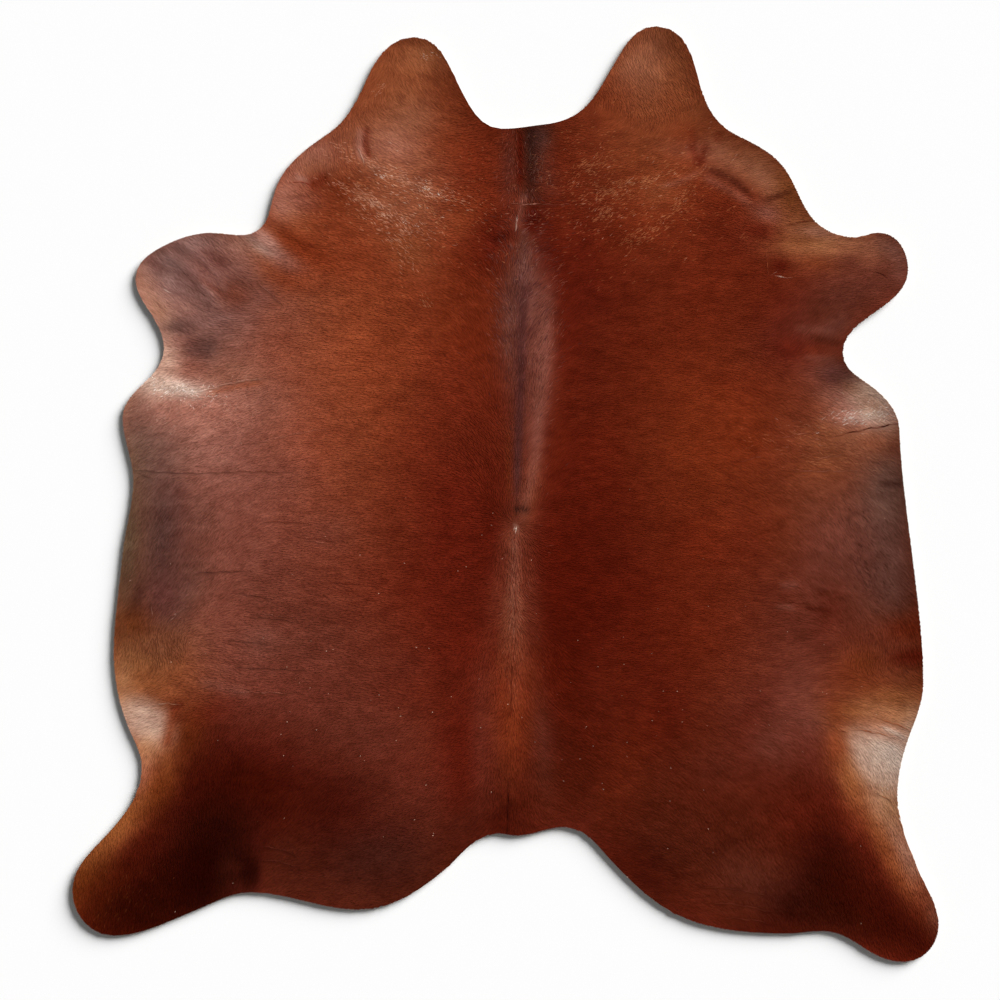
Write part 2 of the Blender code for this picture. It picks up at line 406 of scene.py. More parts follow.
    Patch("lobe rim", Tint.BUFF, -0.872, 0.205, 0.03, 0.015, 60, 0.45),
    # Left side: the rosy glow and rosy light are painted sheen.
    Patch("rosy glow", Tint.BLUSH, -0.74, 0.1, 0.07, 0.06, 60, 0.4),
    Patch("rosy light", Tint.BLUSH, -0.668, 0.08, 0.06, 0.045, 80, 0.22),
    Patch("armpit glow", Tint.BLUSH, -0.62, 0.2, 0.1, 0.05, 8, 0.35),
    Patch("honey top", Tint.HONEY, -0.638, 0.278, 0.06, 0.03, 0, 0.5),
    # Left flank.
    Patch("rim", Tint.OLIVE, -0.875, -0.105, 0.2, 0.04, 88, 0.95),
    Patch("dark mark", Tint.INK, -0.845, -0.235, 0.035, 0.015, 80, 0.7),
    Patch("tan foot", Tint.CINNAMON, -0.845, -0.3, 0.06, 0.032, 0, 0.65),
    Patch("mauve foot", Tint.ROSE, -0.765, -0.3, 0.06, 0.04, 60, 0.2),
    Patch("umber", Tint.MOCHA, -0.742, -0.22, 0.08, 0.045, 70, 0.75),
    Patch("umber, upper", Tint.MOCHA, -0.705, -0.055, 0.045, 0.035, 90, 0.38),
    Patch("foot", Tint.DAMSON, -0.79, -0.245, 0.05, 0.032, 80, 0.48),
    Patch("ginger foot", Tint.GINGER, -0.785, -0.332, 0.04, 0.024, 0, 0.42),
    # Right flank.
    Patch("slate", Tint.MOCHA, 0.882, -0.14, 0.19, 0.06, 94, 0.85),
    Patch("taupe", Tint.TAUPE, 0.885, 0.018, 0.08, 0.06, 90, 0.7),
    Patch("top", Tint.HONEY, 0.848, 0.124, 0.036, 0.022, 10, 0.62),
    Patch("dark band", Tint.GARNET, 0.94, -0.375, 0.05, 0.018, 5, 0.85),
    Patch("lower edge", Tint.BAY, 0.93, -0.31, 0.06, 0.03, 10, 0.85),
    # Forelegs and armpits.
    # Left foreleg: the mauve, grey top and lilac are painted sheen over the hair's own brown, and the root
    # glint a painted highlight on the ridge at its root.
    Patch("mauve", Tint.MAUVE, -0.72, 0.47, 0.18, 0.14, -10, 1.0, 1.2),
    Patch("grey top", Tint.LILAC_SHEEN, -0.705, 0.578, 0.06, 0.022, 0, 0.8),
    Patch("root glint", Tint.CREAM, -0.579, 0.592, 0.03, 0.013, -40, 0.8),
    Patch("rim", Tint.BUFF, -0.825, 0.47, 0.06, 0.028, -65, 0.7),
    Patch("rim's side", Tint.ROSE, -0.8, 0.462, 0.03, 0.026, -60, 0.32),
    Patch("lilac", Tint.LILAC_SHEEN, -0.765, 0.47, 0.06, 0.04, 60, 0.6),
    Patch("lilac, upper", Tint.LILAC_SHEEN, -0.778, 0.52, 0.05, 0.025, -20, 0.58),
    Patch("brown middle", Tint.UMBER, -0.662, 0.485, 0.08, 0.05, -30, 0.72),
    Patch("light middle", Tint.BLUSH, -0.735, 0.432, 0.035, 0.022, -20, 0.45),
    Patch("tan edge", Tint.BLUSH, -0.595, 0.577, 0.06, 0.026, 0, 0.95),
    Patch("root light", Tint.FAWN, -0.572, 0.572, 0.035, 0.026, 0, 0.7),
    Patch("inner top", Tint.BLUSH, -0.6, 0.53, 0.045, 0.028, -20, 0.7),
    Patch("dark middle", Tint.UMBER, -0.61, 0.47, 0.055, 0.04, 90, 0.75),
    Patch("rust middle", Tint.RUST, -0.622, 0.46, 0.036, 0.026, 0, 0.42),
    Patch("rust", Tint.SADDLE, -0.54, 0.52, 0.05, 0.03, -60, 0.6),
    Patch("spot, upper", Tint.UMBER, -0.665, 0.535, 0.035, 0.02, -10, 0.75),
    Patch("spot, outer", Tint.UMBER, -0.81, 0.53, 0.025, 0.01, -40, 0.55),
    Patch("spot, middle", Tint.UMBER, -0.72, 0.505, 0.03, 0.015, -10, 0.5),
    Patch("spot, low", Tint.UMBER, -0.635, 0.415, 0.008, 0.007, 0, 0.6),
    Patch("spot, inner", Tint.UMBER, -0.555, 0.455, 0.03, 0.02, 60, 0.45),
    Patch("spot, lower", Tint.UMBER, -0.575, 0.405, 0.008, 0.007, 0, 0.6),
    Patch("spot, grey", Tint.SLATE, -0.745, 0.558, 0.02, 0.01, -40, 0.45),
    Patch("foot", Tint.RUSSET, -0.532, 0.404, 0.045, 0.032, -30, 0.52),
    Patch("low light", Tint.BLUSH, -0.702, 0.372, 0.026, 0.015, 0, 0.38),
    # Left armpit: cream belly hair; the glow is a painted highlight where that hair glints.
    Patch("tan", Tint.BUFF, -0.792, 0.412, 0.045, 0.022, -60, 0.75),
    Patch("dark bar", Tint.SLATE, -0.755, 0.383, 0.035, 0.018, 0, 0.85),
    Patch("column", Tint.CREAM, -0.78, 0.318, 0.042, 0.026, 95, 0.8),
    Patch("spot, outer", Tint.SLATE, -0.722, 0.333, 0.022, 0.02, 0, 0.5),
    Patch("spot, inner", Tint.SLATE, -0.687, 0.338, 0.026, 0.022, 90, 0.7),
    Patch("pale", Tint.CREAM, -0.806, 0.255, 0.055, 0.04, -30, 0.9, 1.4),
    Patch("blush", Tint.BLUSH, -0.74, 0.2, 0.1, 0.05, 5, 0.75),
    Patch("brown", Tint.UMBER, -0.75, 0.355, 0.03, 0.016, 0, 0.35),
    Patch("glow", Tint.IVORY, -0.75, 0.243, 0.064, 0.018, -6, 0.75),
    # Right foreleg.
    Patch("mauve", Tint.UMBER, 0.86, 0.51, 0.1, 0.08, 0, 0.5),
    Patch("root", Tint.PLUM, 0.7, 0.36, 0.08, 0.045, 10, 0.8),
    Patch("root, bay", Tint.BAY, 0.715, 0.328, 0.035, 0.025, 0, 0.65),
    Patch("dark", Tint.PLUM, 0.78, 0.46, 0.08, 0.05, 20, 0.85),
    Patch("tan", Tint.PEACH, 0.725, 0.58, 0.1, 0.04, -8, 0.95),
    Patch("root light", Tint.PEACH, 0.697, 0.598, 0.045, 0.028, -10, 0.85),
    Patch("root rim", Tint.SAND, 0.703, 0.596, 0.035, 0.022, -10, 0.5),
    Patch("root orange", Tint.CLAY, 0.692, 0.6, 0.036, 0.023, -10, 0.72),
    Patch("top", Tint.HONEY, 0.835, 0.57, 0.07, 0.028, -5, 0.5),
    Patch("ginger", Tint.GINGER, 0.65, 0.61, 0.065, 0.05, 0, 0.75),
    Patch("orange", Tint.RUST, 0.72, 0.53, 0.05, 0.014, -5, 0.5),
    Patch("spot", Tint.PLUM, 0.79, 0.53, 0.03, 0.02, -10, 0.6),
    Patch("rim", Tint.MAUVE, 0.89, 0.565, 0.04, 0.02, -40, 0.45),
    Patch("rim light", Tint.BLUSH, 0.725, 0.603, 0.045, 0.013, -5, 0.6),
    Patch("tip light", Tint.ROSE, 0.908, 0.52, 0.045, 0.018, 88, 0.55),
    Patch("dark lower", Tint.COCOA, 0.735, 0.425, 0.05, 0.03, 10, 0.4),
    Patch("inner brown", Tint.UMBER, 0.764, 0.388, 0.03, 0.02, 30, 0.45),
    # Right armpit: cream belly hair; the bright and the glow are painted highlight where that hair glints.
    Patch("dark", Tint.DAMSON, 0.77, 0.268, 0.05, 0.03, -20, 0.9, 1.3),
    Patch("pink", Tint.ROSE, 0.725, 0.285, 0.05, 0.03, 0, 0.35),
    Patch("pale", Tint.CREAM, 0.846, 0.218, 0.058, 0.038, -45, 0.92, 1.4),
    Patch("inner", Tint.GINGER, 0.804, 0.234, 0.034, 0.018, -30, 0.6),
    Patch("upper", Tint.BLUSH, 0.768, 0.218, 0.045, 0.022, -20, 0.7),
    Patch("bright", Tint.IVORY, 0.85, 0.2, 0.045, 0.024, -40, 0.6),
    Patch("blush", Tint.BLUSH, 0.822, 0.182, 0.072, 0.028, 3, 0.95, 1.6),
    Patch("glow", Tint.CREAM, 0.842, 0.2, 0.036, 0.023, -40, 0.8),
    Patch("foot's saddle", Tint.SADDLE, 0.842, 0.118, 0.038, 0.02, 0, 0.38),
    Patch("middle", Tint.CREAM, 0.849, 0.192, 0.034, 0.022, -20, 0.55),
    Patch("outer", Tint.FAWN, 0.84, 0.204, 0.038, 0.023, -40, 0.66),
    Patch("foot", Tint.WINE, 0.65, 0.338, 0.036, 0.03, 0, 0.66),
    # Shoulders.
    # Left shoulder rim.
    Patch("upper", Tint.BLUSH, -0.448, 0.76, 0.055, 0.038, 40, 0.97),
    Patch("middle", Tint.BLUSH, -0.47, 0.72, 0.035, 0.03, 20, 0.8),
    Patch("lower", Tint.BLUSH, -0.5, 0.675, 0.05, 0.04, 70, 0.9, 1.6),
    Patch("foot", Tint.GINGER, -0.47, 0.62, 0.04, 0.05, 0, 0.5),
    Patch("ginger", Tint.ROSE, -0.458, 0.682, 0.034, 0.028, 0, 0.72),
    Patch("inner", Tint.HONEY, -0.436, 0.748, 0.036, 0.028, 0, 0.86),
    Patch("blush", Tint.BLUSH, -0.46, 0.692, 0.03, 0.024, 0, 0.36),
    # Left shoulder.
    Patch("pocket", Tint.RUST, -0.4, 0.7, 0.08, 0.05, -10, 0.75),
    Patch("rosy oval", Tint.BLUSH, -0.262, 0.8, 0.06, 0.04, -10, 0.5),
    # Painted shade in the deep fold, and painted highlight on the pale ridge beside it.
    Patch("dark fold", Tint.COPPER, -0.478, 0.57, 0.08, 0.026, -28, 0.95),
    Patch("fold's rust", Tint.RUST, -0.495, 0.574, 0.03, 0.018, -28, 0.5),
    Patch("pale ridge", Tint.LILAC_SHEEN, -0.553, 0.574, 0.055, 0.018, -40, 0.85),
    Patch("left foreleg, root pale", Tint.CREAM, -0.56, 0.572, 0.028, 0.013, -40, 0.5),
    # Left shoulder.
    Patch("below the fold", Tint.COPPER, -0.49, 0.495, 0.05, 0.028, -20, 0.6),
    Patch("rosy foot", Tint.ROSE, -0.503, 0.53, 0.03, 0.018, -20, 0.6),
    # Right shoulder.
    Patch("rosy oval", Tint.ROSE, 0.42, 0.795, 0.05, 0.02, -5, 0.35),
    Patch("rosy corner", Tint.HONEY, 0.48, 0.8, 0.03, 0.025, 0, 0.35),
    Patch("rust corner", Tint.RUST, 0.41, 0.825, 0.032, 0.028, 0, 0.52),
    Patch("right shoulder rim, tan", Tint.HONEY, 0.594, 0.722, 0.055, 0.03, -50, 0.62),
    Patch("right shoulder, crease's side", Tint.BAY, 0.566, 0.684, 0.026, 0.016, -40, 0.5),
    # Right shoulder rim.
    Patch("amber", Tint.AMBER, 0.657, 0.7, 0.032, 0.018, -55, 0.75),
    Patch("amber foot", Tint.AMBER, 0.65, 0.672, 0.03, 0.018, -60, 0.5),
    # Right shoulder.
    Patch("mauve spot", Tint.ROSE, 0.6, 0.645, 0.03, 0.02, -20, 0.75),
    Patch("hollow spot", Tint.WINE, 0.585, 0.605, 0.04, 0.022, -10, 0.8),
    Patch("dark spot", Tint.GARNET, 0.634, 0.526, 0.018, 0.014, 0, 0.75),
    # The spine.
    Patch("neck tuft", Tint.INK, 0.06, 0.79, 0.09, 0.02, 91, 0.72),
    # Neck tuft.
    Patch("grey side", Tint.SLATE, 0.082, 0.82, 0.035, 0.022, 90, 0.75),
    Patch("left side", Tint.DAMSON, 0.01, 0.755, 0.08, 0.02, 88, 0.5),
    Patch("right side", Tint.PLUM, 0.095, 0.735, 0.05, 0.022, 100, 0.65),
    Patch("foot", Tint.INK, 0.056, 0.69, 0.02, 0.015, 0, 0.62),
    Patch("tuft, below the crease", Tint.COCOA, 0.054, 0.647, 0.03, 0.02, 80, 0.7),
    # Withers.
    Patch("left hair", Tint.UMBER, 0.01, 0.37, 0.1, 0.028, 92, 0.34),
    Patch("long hair", Tint.UMBER, 0.05, 0.36, 0.2, 0.045, 91, 0.75, 1.2),
    Patch("top", Tint.MOCHA, 0.043, 0.555, 0.05, 0.013, 92, 0.62, 1.5),
    Patch("upper right", Tint.UMBER, 0.044, 0.48, 0.07, 0.033, 92, 0.66, 1.4),
    Patch("back, long hair", Tint.PLUM, 0.045, 0.13, 0.2, 0.026, 91, 0.6),
    # Withers.
    Patch("light side", Tint.ROSE, 0.094, 0.37, 0.09, 0.018, 92, 0.5),
    Patch("right edge", Tint.UMBER, 0.098, 0.44, 0.04, 0.016, 80, 0.35),
    Patch("light side, lower", Tint.ROSE, 0.072, 0.15, 0.13, 0.014, 92, 0.18),
    # Back.
    Patch("light foot", Tint.SADDLE, 0.055, -0.01, 0.06, 0.018, 80, 0.45),
    Patch("bay foot", Tint.BAY, 0.05, 0.055, 0.055, 0.014, 90, 0.34),
    Patch("whorl", Tint.IVORY, 0.024, -0.08, 0.008, 0.0035, 82, 0.75),
    # Croup.
    Patch("left hair", Tint.PLUM, -0.048, -0.56, 0.15, 0.028, 87, 0.75),
    Patch("left dark", Tint.GARNET, -0.105, -0.63, 0.17, 0.04, 92, 0.62),
    Patch("right hair", Tint.PLUM, 0.08, -0.56, 0.12, 0.025, 95, 0.6),
    Patch("left edge", Tint.WINE, -0.04, -0.565, 0.1, 0.018, 90, 0.36),
    Patch("pale ridge", Tint.RUSSET, 0.021, -0.165, 0.1, 0.026, 90, 0.82),
    Patch("mauve cone", Tint.RUSSET, 0.021, -0.29, 0.14, 0.044, 90, 0.92, 1.4),
    Patch("ginger ridge", Tint.COPPER, 0.018, -0.44, 0.13, 0.042, 90, 0.5, 1.2),
    Patch("copper foot", Tint.COPPER, 0.014, -0.54, 0.11, 0.036, 90, 0.55),
    Patch("tail, dark", Tint.BISTRE, -0.01, -0.76, 0.055, 0.055, 90, 0.72),
    Patch("left of the tail, cocoa", Tint.COCOA, -0.1, -0.765, 0.05, 0.035, 40, 0.5),
)


class Fold(NamedTuple):
    """A soft ridge or trough of the hide, along a gently bowed line, with its own tint."""

    name: str
    start: tuple[float, float]
    end: tuple[float, float]
    bow: float  # how far its middle stands off the straight line, to the left going from the start
    width: float  # from its crest to where it is half as high
    rise: float  # up for a ridge and down for a trough
    # laid along the fold: at a crease or ridge, a dark tint is painted shade and a pale tint painted
    # highlight
    tint: Tint | None = None
    strength: float = 0.0

    @property
    def fine(self) -> bool:
        """Whether it is a sharp crease, at which the hair parts."""
        return self.width < FINE

    @property
    def length(self) -> float:
        """How long the straight line is from its start to its end."""
        return math.dist(self.start, self.end)

    def stray(self, along: np.ndarray) -> np.ndarray:
        """Returns how far a sharp crease strays from its line, at each share of its length."""
        turns = 2.0 * math.pi * along * self.length
        slow = np.sin(turns / SLOW_WAVE + SLOW_PHASE * self.start[1])
        quick = np.sin(turns / QUICK_WAVE + QUICK_PHASE * self.start[0])
        return SWAY * (slow + QUICK_SHARE * quick)

    def from_crest(self, x: np.ndarray, y: np.ndarray) -> tuple[np.ndarray, np.ndarray]:
        """Measures each place from the fold.

        Args:
            x: metres across the hide.
            y: metres along it.

        Returns:
            How far along the fold each place is, from 0 to 1, and how many metres to its left.
        """
        way_x = (self.end[0] - self.start[0]) / self.length
        way_y = (self.end[1] - self.start[1]) / self.length
        dx, dy = x - self.start[0], y - self.start[1]
        along = (dx * way_x + dy * way_y) / self.length
        across = dy * way_x - dx * way_y - self.bow * 4.0 * along * (1.0 - along)
        if self.fine:
            across += self.stray(along)
        return along, across

    def near(self, x: np.ndarray, y: np.ndarray, reach: float) -> np.ndarray:
        """Returns which places are within reach of the fold, and a little more."""
        middle = ((self.start[0] + self.end[0]) / 2.0, (self.start[1] + self.end[1]) / 2.0)
        radius = self.length / 2.0 + abs(self.bow) + reach
        return (np.abs(x - middle[0]) < radius) & (np.abs(y - middle[1]) < radius)

    def weight(self, x: np.ndarray, y: np.ndarray) -> np.ndarray:
        """Returns how near each place is to the crest, from 0 to 1, fading at the fold's ends."""
        share = np.zeros(len(x))
        near = self.near(x, y, REACH * self.width)
        along, across = self.from_crest(x[near], y[near])
        share[near] = fading(along, FOLD_FADE) * np.exp(-HALF * (across / self.width) ** 2)
        return share

    def tinting(self, x: np.ndarray, y: np.ndarray) -> np.ndarray:
        """Returns how much of the tint each place takes."""
        return self.strength * self.weight(x, y)


# Creases, ridges and strokes. Along a crease or ridge, a dark tint is painted shade and a pale tint painted
# highlight, besides the relief that its rise gives.
FOLDS = (
    # Tuft.
    Fold("dark band", (0.056, 0.86), (0.057, 0.695), 0.005, 0.012, 0.0005, Tint.INK, 0.61),
    Fold("left line", (0.034, 0.84), (0.033, 0.7), 0, 0.006, 0, Tint.GARNET, 0.8),
    Fold("crease", (0.012, 0.667), (0.102, 0.667), 0, 0.0032, 0, Tint.BLUSH, 0.85),
    Fold("crease's end", (0.075, 0.666), (0.155, 0.666), 0, 0.0026, 0, Tint.ROSE, 0.55),
    Fold("crease's shade", (0.038, 0.661), (0.11, 0.661), 0, 0.003, 0, Tint.GARNET, 0.6),
    Fold("pale ridge, top", (0.042, 0.705), (0.025, 0.622), 0.002, 0.003, 0, Tint.ROSE, 0.62),
    Fold("pale ridge, foot", (0.027, 0.636), (0.02, 0.6), 0.001, 0.0044, 0, Tint.IVORY, 0.95),
    Fold("ridge", (0.043, 0.7), (0.022, 0.604), 0.003, 0.008, 0.0005, Tint.ROSE, 0.5),
    Fold("hollow", (0.066, 0.668), (0.054, 0.6), 0, 0.013, -0.0006, Tint.GARNET, 0.85),
    Fold("shaded line", (0.018, 0.606), (-0.036, 0.577), 0, 0.006, -0.0006, Tint.BISTRE, 0.7),
    # The long hair of the withers.
    Fold("withers ridge", (0.035, 0.61), (0.026, -0.06), 0, 0.02, 0.0016),
    # Withers.
    Fold("dark core", (0.043, 0.52), (0.024, -0.05), 0, 0.009, -0.0003, Tint.DAMSON, 0.85),
    Fold("right light", (0.09, 0.45), (0.03, -0.1), 0.018, 0.014, 0.0004, Tint.ROSE, 0.5),
    Fold("left light", (0.006, 0.45), (0.004, 0.31), 0, 0.008, 0.0003, Tint.ROSE, 0.28),
    Fold("left light, low", (0.006, 0.16), (0.008, -0.02), 0, 0.006, 0.0002, Tint.RUST, 0.5),
    # Whorl.
    Fold("mark across", (0.017, -0.037), (0.058, -0.039), 0.002, 0.0055, -0.0003, Tint.INK, 0.8),
    Fold("mark along", (0.026, -0.016), (0.026, -0.055), 0, 0.003, 0, Tint.INK, 0.5),
    # Croup ridge.
    Fold("upper", (0.023, -0.075), (0.019, -0.33), 0, 0.009, 0.0005, Tint.ROSE, 0.32),
    Fold("middle", (0.02, -0.18), (0.018, -0.52), 0, 0.016, 0.001, Tint.RUSSET, 0.3),
    Fold("lower", (0.018, -0.44), (0.012, -0.69), 0, 0.018, 0.0008, Tint.SADDLE, 0.12),
    # Croup.
    Fold("fine line", (0.023, -0.15), (0.022, -0.36), 0, 0.0022, 0, Tint.WINE, 0.6),
    Fold("fine line, lower", (0.014, -0.39), (0.014, -0.49), 0, 0.0022, 0, Tint.BISTRE, 0.5),
    Fold("bright line", (0.018, -0.298), (0.02, -0.328), 0, 0.003, 0, Tint.BLUSH, 0.45),
    Fold("left edge", (0.006, -0.1), (-0.036, -0.42), 0, 0.012, -0.0003, Tint.GARNET, 0.35),
    Fold("right edge", (0.04, -0.1), (0.066, -0.42), 0, 0.014, -0.0003, Tint.GARNET, 0.3),
    Fold("tail crease", (0.007, -0.65), (0.005, -0.79), 0, 0.004, 0, Tint.SABLE, 0.8),
    # Left shoulder.
    Fold("arc", (-0.328, 0.845), (-0.324, 0.76), -0.01, 0.008, 0.0005, Tint.BLUSH, 0.78),
    Fold("arc's foot", (-0.336, 0.79), (-0.324, 0.756), 0, 0.004, 0, Tint.CREAM, 0.72),
    Fold("arc's shade", (-0.314, 0.848), (-0.311, 0.77), -0.009, 0.006, -0.0006, Tint.WINE, 0.74),
    Fold("notch", (-0.492, 0.716), (-0.44, 0.708), 0.004, 0.0044, 0, Tint.WINE, 0.85),
    Fold("notch's end", (-0.456, 0.706), (-0.405, 0.732), 0, 0.011, -0.0008, Tint.BAY, 0.72),
    Fold("notch's light", (-0.486, 0.728), (-0.452, 0.716), 0.003, 0.006, 0.0004, Tint.LILAC_SHEEN, 0.4),
    Fold("deep fold", (-0.53, 0.608), (-0.415, 0.56), -0.014, 0.013, -0.0011, Tint.RUST, 0.5),
    Fold("ridge", (-0.592, 0.615), (-0.522, 0.563), -0.005, 0.012, 0.0016, Tint.BLUSH, 0.75),
    Fold("faint line", (-0.565, 0.484), (-0.515, 0.436), 0, 0.003, 0, Tint.BLUSH, 0.45),
    Fold("upper streak", (-0.335, 0.768), (-0.14, 0.688), -0.004, 0.009, 0.0004, Tint.HONEY, 0.5),
    Fold("lower streak", (-0.36, 0.702), (-0.25, 0.646), 0, 0.009, 0.0004, Tint.HONEY, 0.45),
    # Left foreleg.
    Fold("crease", (-0.805, 0.446), (-0.764, 0.404), -0.003, 0.003, 0, Tint.UMBER, 0.5),
    Fold("scratch", (-0.788, 0.471), (-0.758, 0.459), 0, 0.002, 0, Tint.IVORY, 0.6),
    Fold("ridge", (-0.8, 0.56), (-0.66, 0.42), 0.02, 0.012, 0.0016, Tint.LILAC_SHEEN, 0.25),
    Fold("second ridge", (-0.76, 0.585), (-0.64, 0.45), 0.02, 0.008, 0.0005, Tint.LILAC_SHEEN, 0.2),
    Fold("streak", (-0.71, 0.5), (-0.645, 0.455), 0, 0.006, -0.0004, Tint.PLUM, 0.45),
    # Left armpit: the glints are painted highlight along its pale hair.
    Fold("glint", (-0.785, 0.248), (-0.69, 0.235), -0.004, 0.008, 0.0005, Tint.IVORY, 0.35),
    Fold("second glint", (-0.76, 0.228), (-0.7, 0.219), 0, 0.003, 0, Tint.CREAM, 0.6),
    Fold("crease", (-0.705, 0.234), (-0.54, 0.267), 0.006, 0.004, 0, Tint.CREAM, 0.33),
    Fold("crease's shade", (-0.7, 0.224), (-0.545, 0.256), 0.006, 0.005, -0.0005, Tint.SADDLE, 0.4),
    Fold("left side, ripple", (-0.58, 0.116), (-0.39, 0.152), 0.004, 0.003, 0, Tint.BLUSH, 0.32),
    # Left flank.
    Fold("long crease", (-0.865, 0.057), (-0.65, 0.05), -0.005, 0.0022, 0, Tint.INK, 0.26),
    Fold("long crease's end", (-0.65, 0.05), (-0.5, 0.049), 0.002, 0.0018, 0, Tint.WINE, 0.3),
    Fold("short stroke", (-0.838, 0.045), (-0.81, 0.035), 0, 0.003, 0, Tint.INK, 0.6),
    Fold("hook", (-0.815, -0.252), (-0.814, -0.276), 0, 0.002, 0, Tint.CREAM, 0.75),
    Fold("pale arc", (-0.773, -0.294), (-0.732, -0.262), 0.004, 0.002, 0, Tint.CREAM, 0.25),
    # Left side.
    Fold("wrinkle 1", (-0.55, -0.063), (-0.44, -0.068), 0, 0.0025, 0, Tint.WINE, 0.38),
    Fold("wrinkle 2", (-0.48, -0.099), (-0.37, -0.111), 0, 0.0025, 0, Tint.WINE, 0.42),
    Fold("wrinkle 2's light", (-0.45, -0.108), (-0.4, -0.114), 0, 0.003, 0, Tint.BLUSH, 0.26),
    Fold("wrinkle 3", (-0.71, -0.181), (-0.59, -0.177), 0, 0.0025, 0, Tint.INK, 0.38),
    Fold("wrinkle 4", (-0.61, -0.229), (-0.54, -0.241), 0, 0.0025, 0, Tint.INK, 0.38),
    Fold("wrinkle 5", (-0.585, -0.284), (-0.48, -0.296), 0.003, 0.003, 0, Tint.INK, 0.42),
    Fold("wrinkle 5's light", (-0.58, -0.276), (-0.49, -0.288), 0.003, 0.003, 0, Tint.ROSE, 0.34),
    Fold("wrinkle 6", (-0.64, -0.336), (-0.54, -0.346), 0, 0.003, 0, Tint.INK, 0.38),
    Fold("wrinkle 7", (-0.42, -0.205), (-0.29, -0.214), 0.003, 0.0025, 0, Tint.WINE, 0.3),
    # Left groin.
    Fold("hook", (-0.81, -0.485), (-0.74, -0.486), 0.003, 0.003, 0, Tint.CREAM, 0.55),
    Fold("dark V", (-0.766, -0.5), (-0.744, -0.48), 0, 0.006, -0.0005, Tint.WINE, 0.6),
    Fold("inner edge", (-0.762, -0.49), (-0.782, -0.59), 0, 0.011, -0.0005, Tint.RUST, 0.72),
    # Left loin.
    Fold("mauve streak", (-0.71, -0.426), (-0.58, -0.464), 0, 0.011, 0.0004, Tint.ROSE, 0.35),
    Fold("dark streak", (-0.705, -0.448), (-0.66, -0.436), 0, 0.004, 0, Tint.INK, 0.45),
    Fold("light line", (-0.64, -0.455), (-0.48, -0.458), 0, 0.003, 0, Tint.BLUSH, 0.4),
    Fold("dark line", (-0.62, -0.399), (-0.45, -0.406), 0, 0.003, 0, Tint.INK, 0.5),
    # Left haunch.
    Fold("ripple 1", (-0.56, -0.812), (-0.49, -0.828), 0.004, 0.004, 0, Tint.PLUM, 0.4),
    Fold("ripple 2", (-0.555, -0.842), (-0.48, -0.858), 0.004, 0.004, 0, Tint.PLUM, 0.4),
    # Right shoulder.
    Fold("V, left arm", (0.425, 0.81), (0.447, 0.752), 0, 0.007, -0.0004, Tint.GARNET, 0.58),
    Fold("V, right arm", (0.463, 0.81), (0.449, 0.752), 0, 0.007, -0.0004, Tint.GARNET, 0.58),
    Fold("rim mark 1", (0.428, 0.845), (0.434, 0.806), 0, 0.006, -0.0005, Tint.BAY, 0.55),
    Fold("rim mark 2", (0.492, 0.835), (0.486, 0.806), 0, 0.006, -0.0005, Tint.BAY, 0.55),
    Fold("pale ridge", (0.455, 0.747), (0.35, 0.706), 0.006, 0.006, 0.0005, Tint.BLUSH, 0.32),
    Fold("deep arc", (0.45, 0.748), (0.568, 0.676), 0.013, 0.008, -0.0009, Tint.COCOA, 0.72),
    Fold("arc's light", (0.445, 0.735), (0.575, 0.658), 0.004, 0.009, 0.0006, Tint.ROSE, 0.42),
    Fold("rim crease", (0.66, 0.7), (0.585, 0.672), 0.003, 0.006, -0.0005, Tint.COCOA, 0.55),
    # Right foreleg.
    Fold("root crease", (0.638, 0.617), (0.722, 0.632), 0, 0.0035, 0, Tint.WINE, 0.65),
    Fold("tip crease", (0.835, 0.513), (0.88, 0.497), 0.003, 0.004, 0, Tint.COCOA, 0.7),
    # Right shoulder.
    Fold("scar, left", (0.602, 0.556), (0.603, 0.498), 0, 0.002, 0, Tint.STRAW, 0.4),
    Fold("scar, foot", (0.612, 0.508), (0.656, 0.498), -0.004, 0.0025, 0, Tint.IVORY, 0.6),
    Fold("scar, right", (0.604, 0.5), (0.622, 0.512), 0, 0.002, 0, Tint.CREAM, 0.5),
    # Right foreleg.
    Fold("ripple 1", (0.69, 0.361), (0.785, 0.349), -0.003, 0.006, -0.0005, Tint.COCOA, 0.5),
    Fold("ripple 2", (0.66, 0.382), (0.76, 0.376), 0, 0.007, 0.0005, Tint.ROSE, 0.35),
    Fold("ripple 3", (0.68, 0.316), (0.765, 0.309), 0, 0.006, 0.0005, Tint.ROSE, 0.35),
    # Right armpit: the glints are painted highlight along its pale hair.
    Fold("glint", (0.775, 0.172), (0.89, 0.19), -0.003, 0.008, 0.0005, Tint.IVORY, 0.35),
    Fold("second glint", (0.79, 0.19), (0.85, 0.2), 0, 0.003, 0, Tint.CREAM, 0.6),
    Fold("crease", (0.746, 0.13), (0.912, 0.163), 0.002, 0.0042, 0, Tint.BISTRE, 0.95),
    # Right side.
    Fold("stroke 1", (0.625, 0.128), (0.695, 0.141), 0, 0.0025, 0, Tint.BLUSH, 0.35),
    Fold("stroke 2", (0.705, 0.078), (0.775, 0.091), 0, 0.0025, 0, Tint.BLUSH, 0.35),
    Fold("stroke 3", (0.535, 0.074), (0.59, 0.086), 0, 0.0025, 0, Tint.BLUSH, 0.3),
    Fold("light crease", (0.645, 0.052), (0.815, 0.053), 0, 0.003, 0, Tint.BLUSH, 0.4),
    Fold("right flank, nick", (0.858, 0.022), (0.92, 0.022), 0, 0.006, -0.0005, Tint.INK, 0.62),
    # Right side.
    Fold("thin line", (0.592, -0.25), (0.698, -0.251), 0, 0.0025, 0, Tint.BISTRE, 0.55),
    Fold("dark mark 1", (0.715, -0.232), (0.745, -0.228), 0, 0.005, -0.0005, Tint.BISTRE, 0.45),
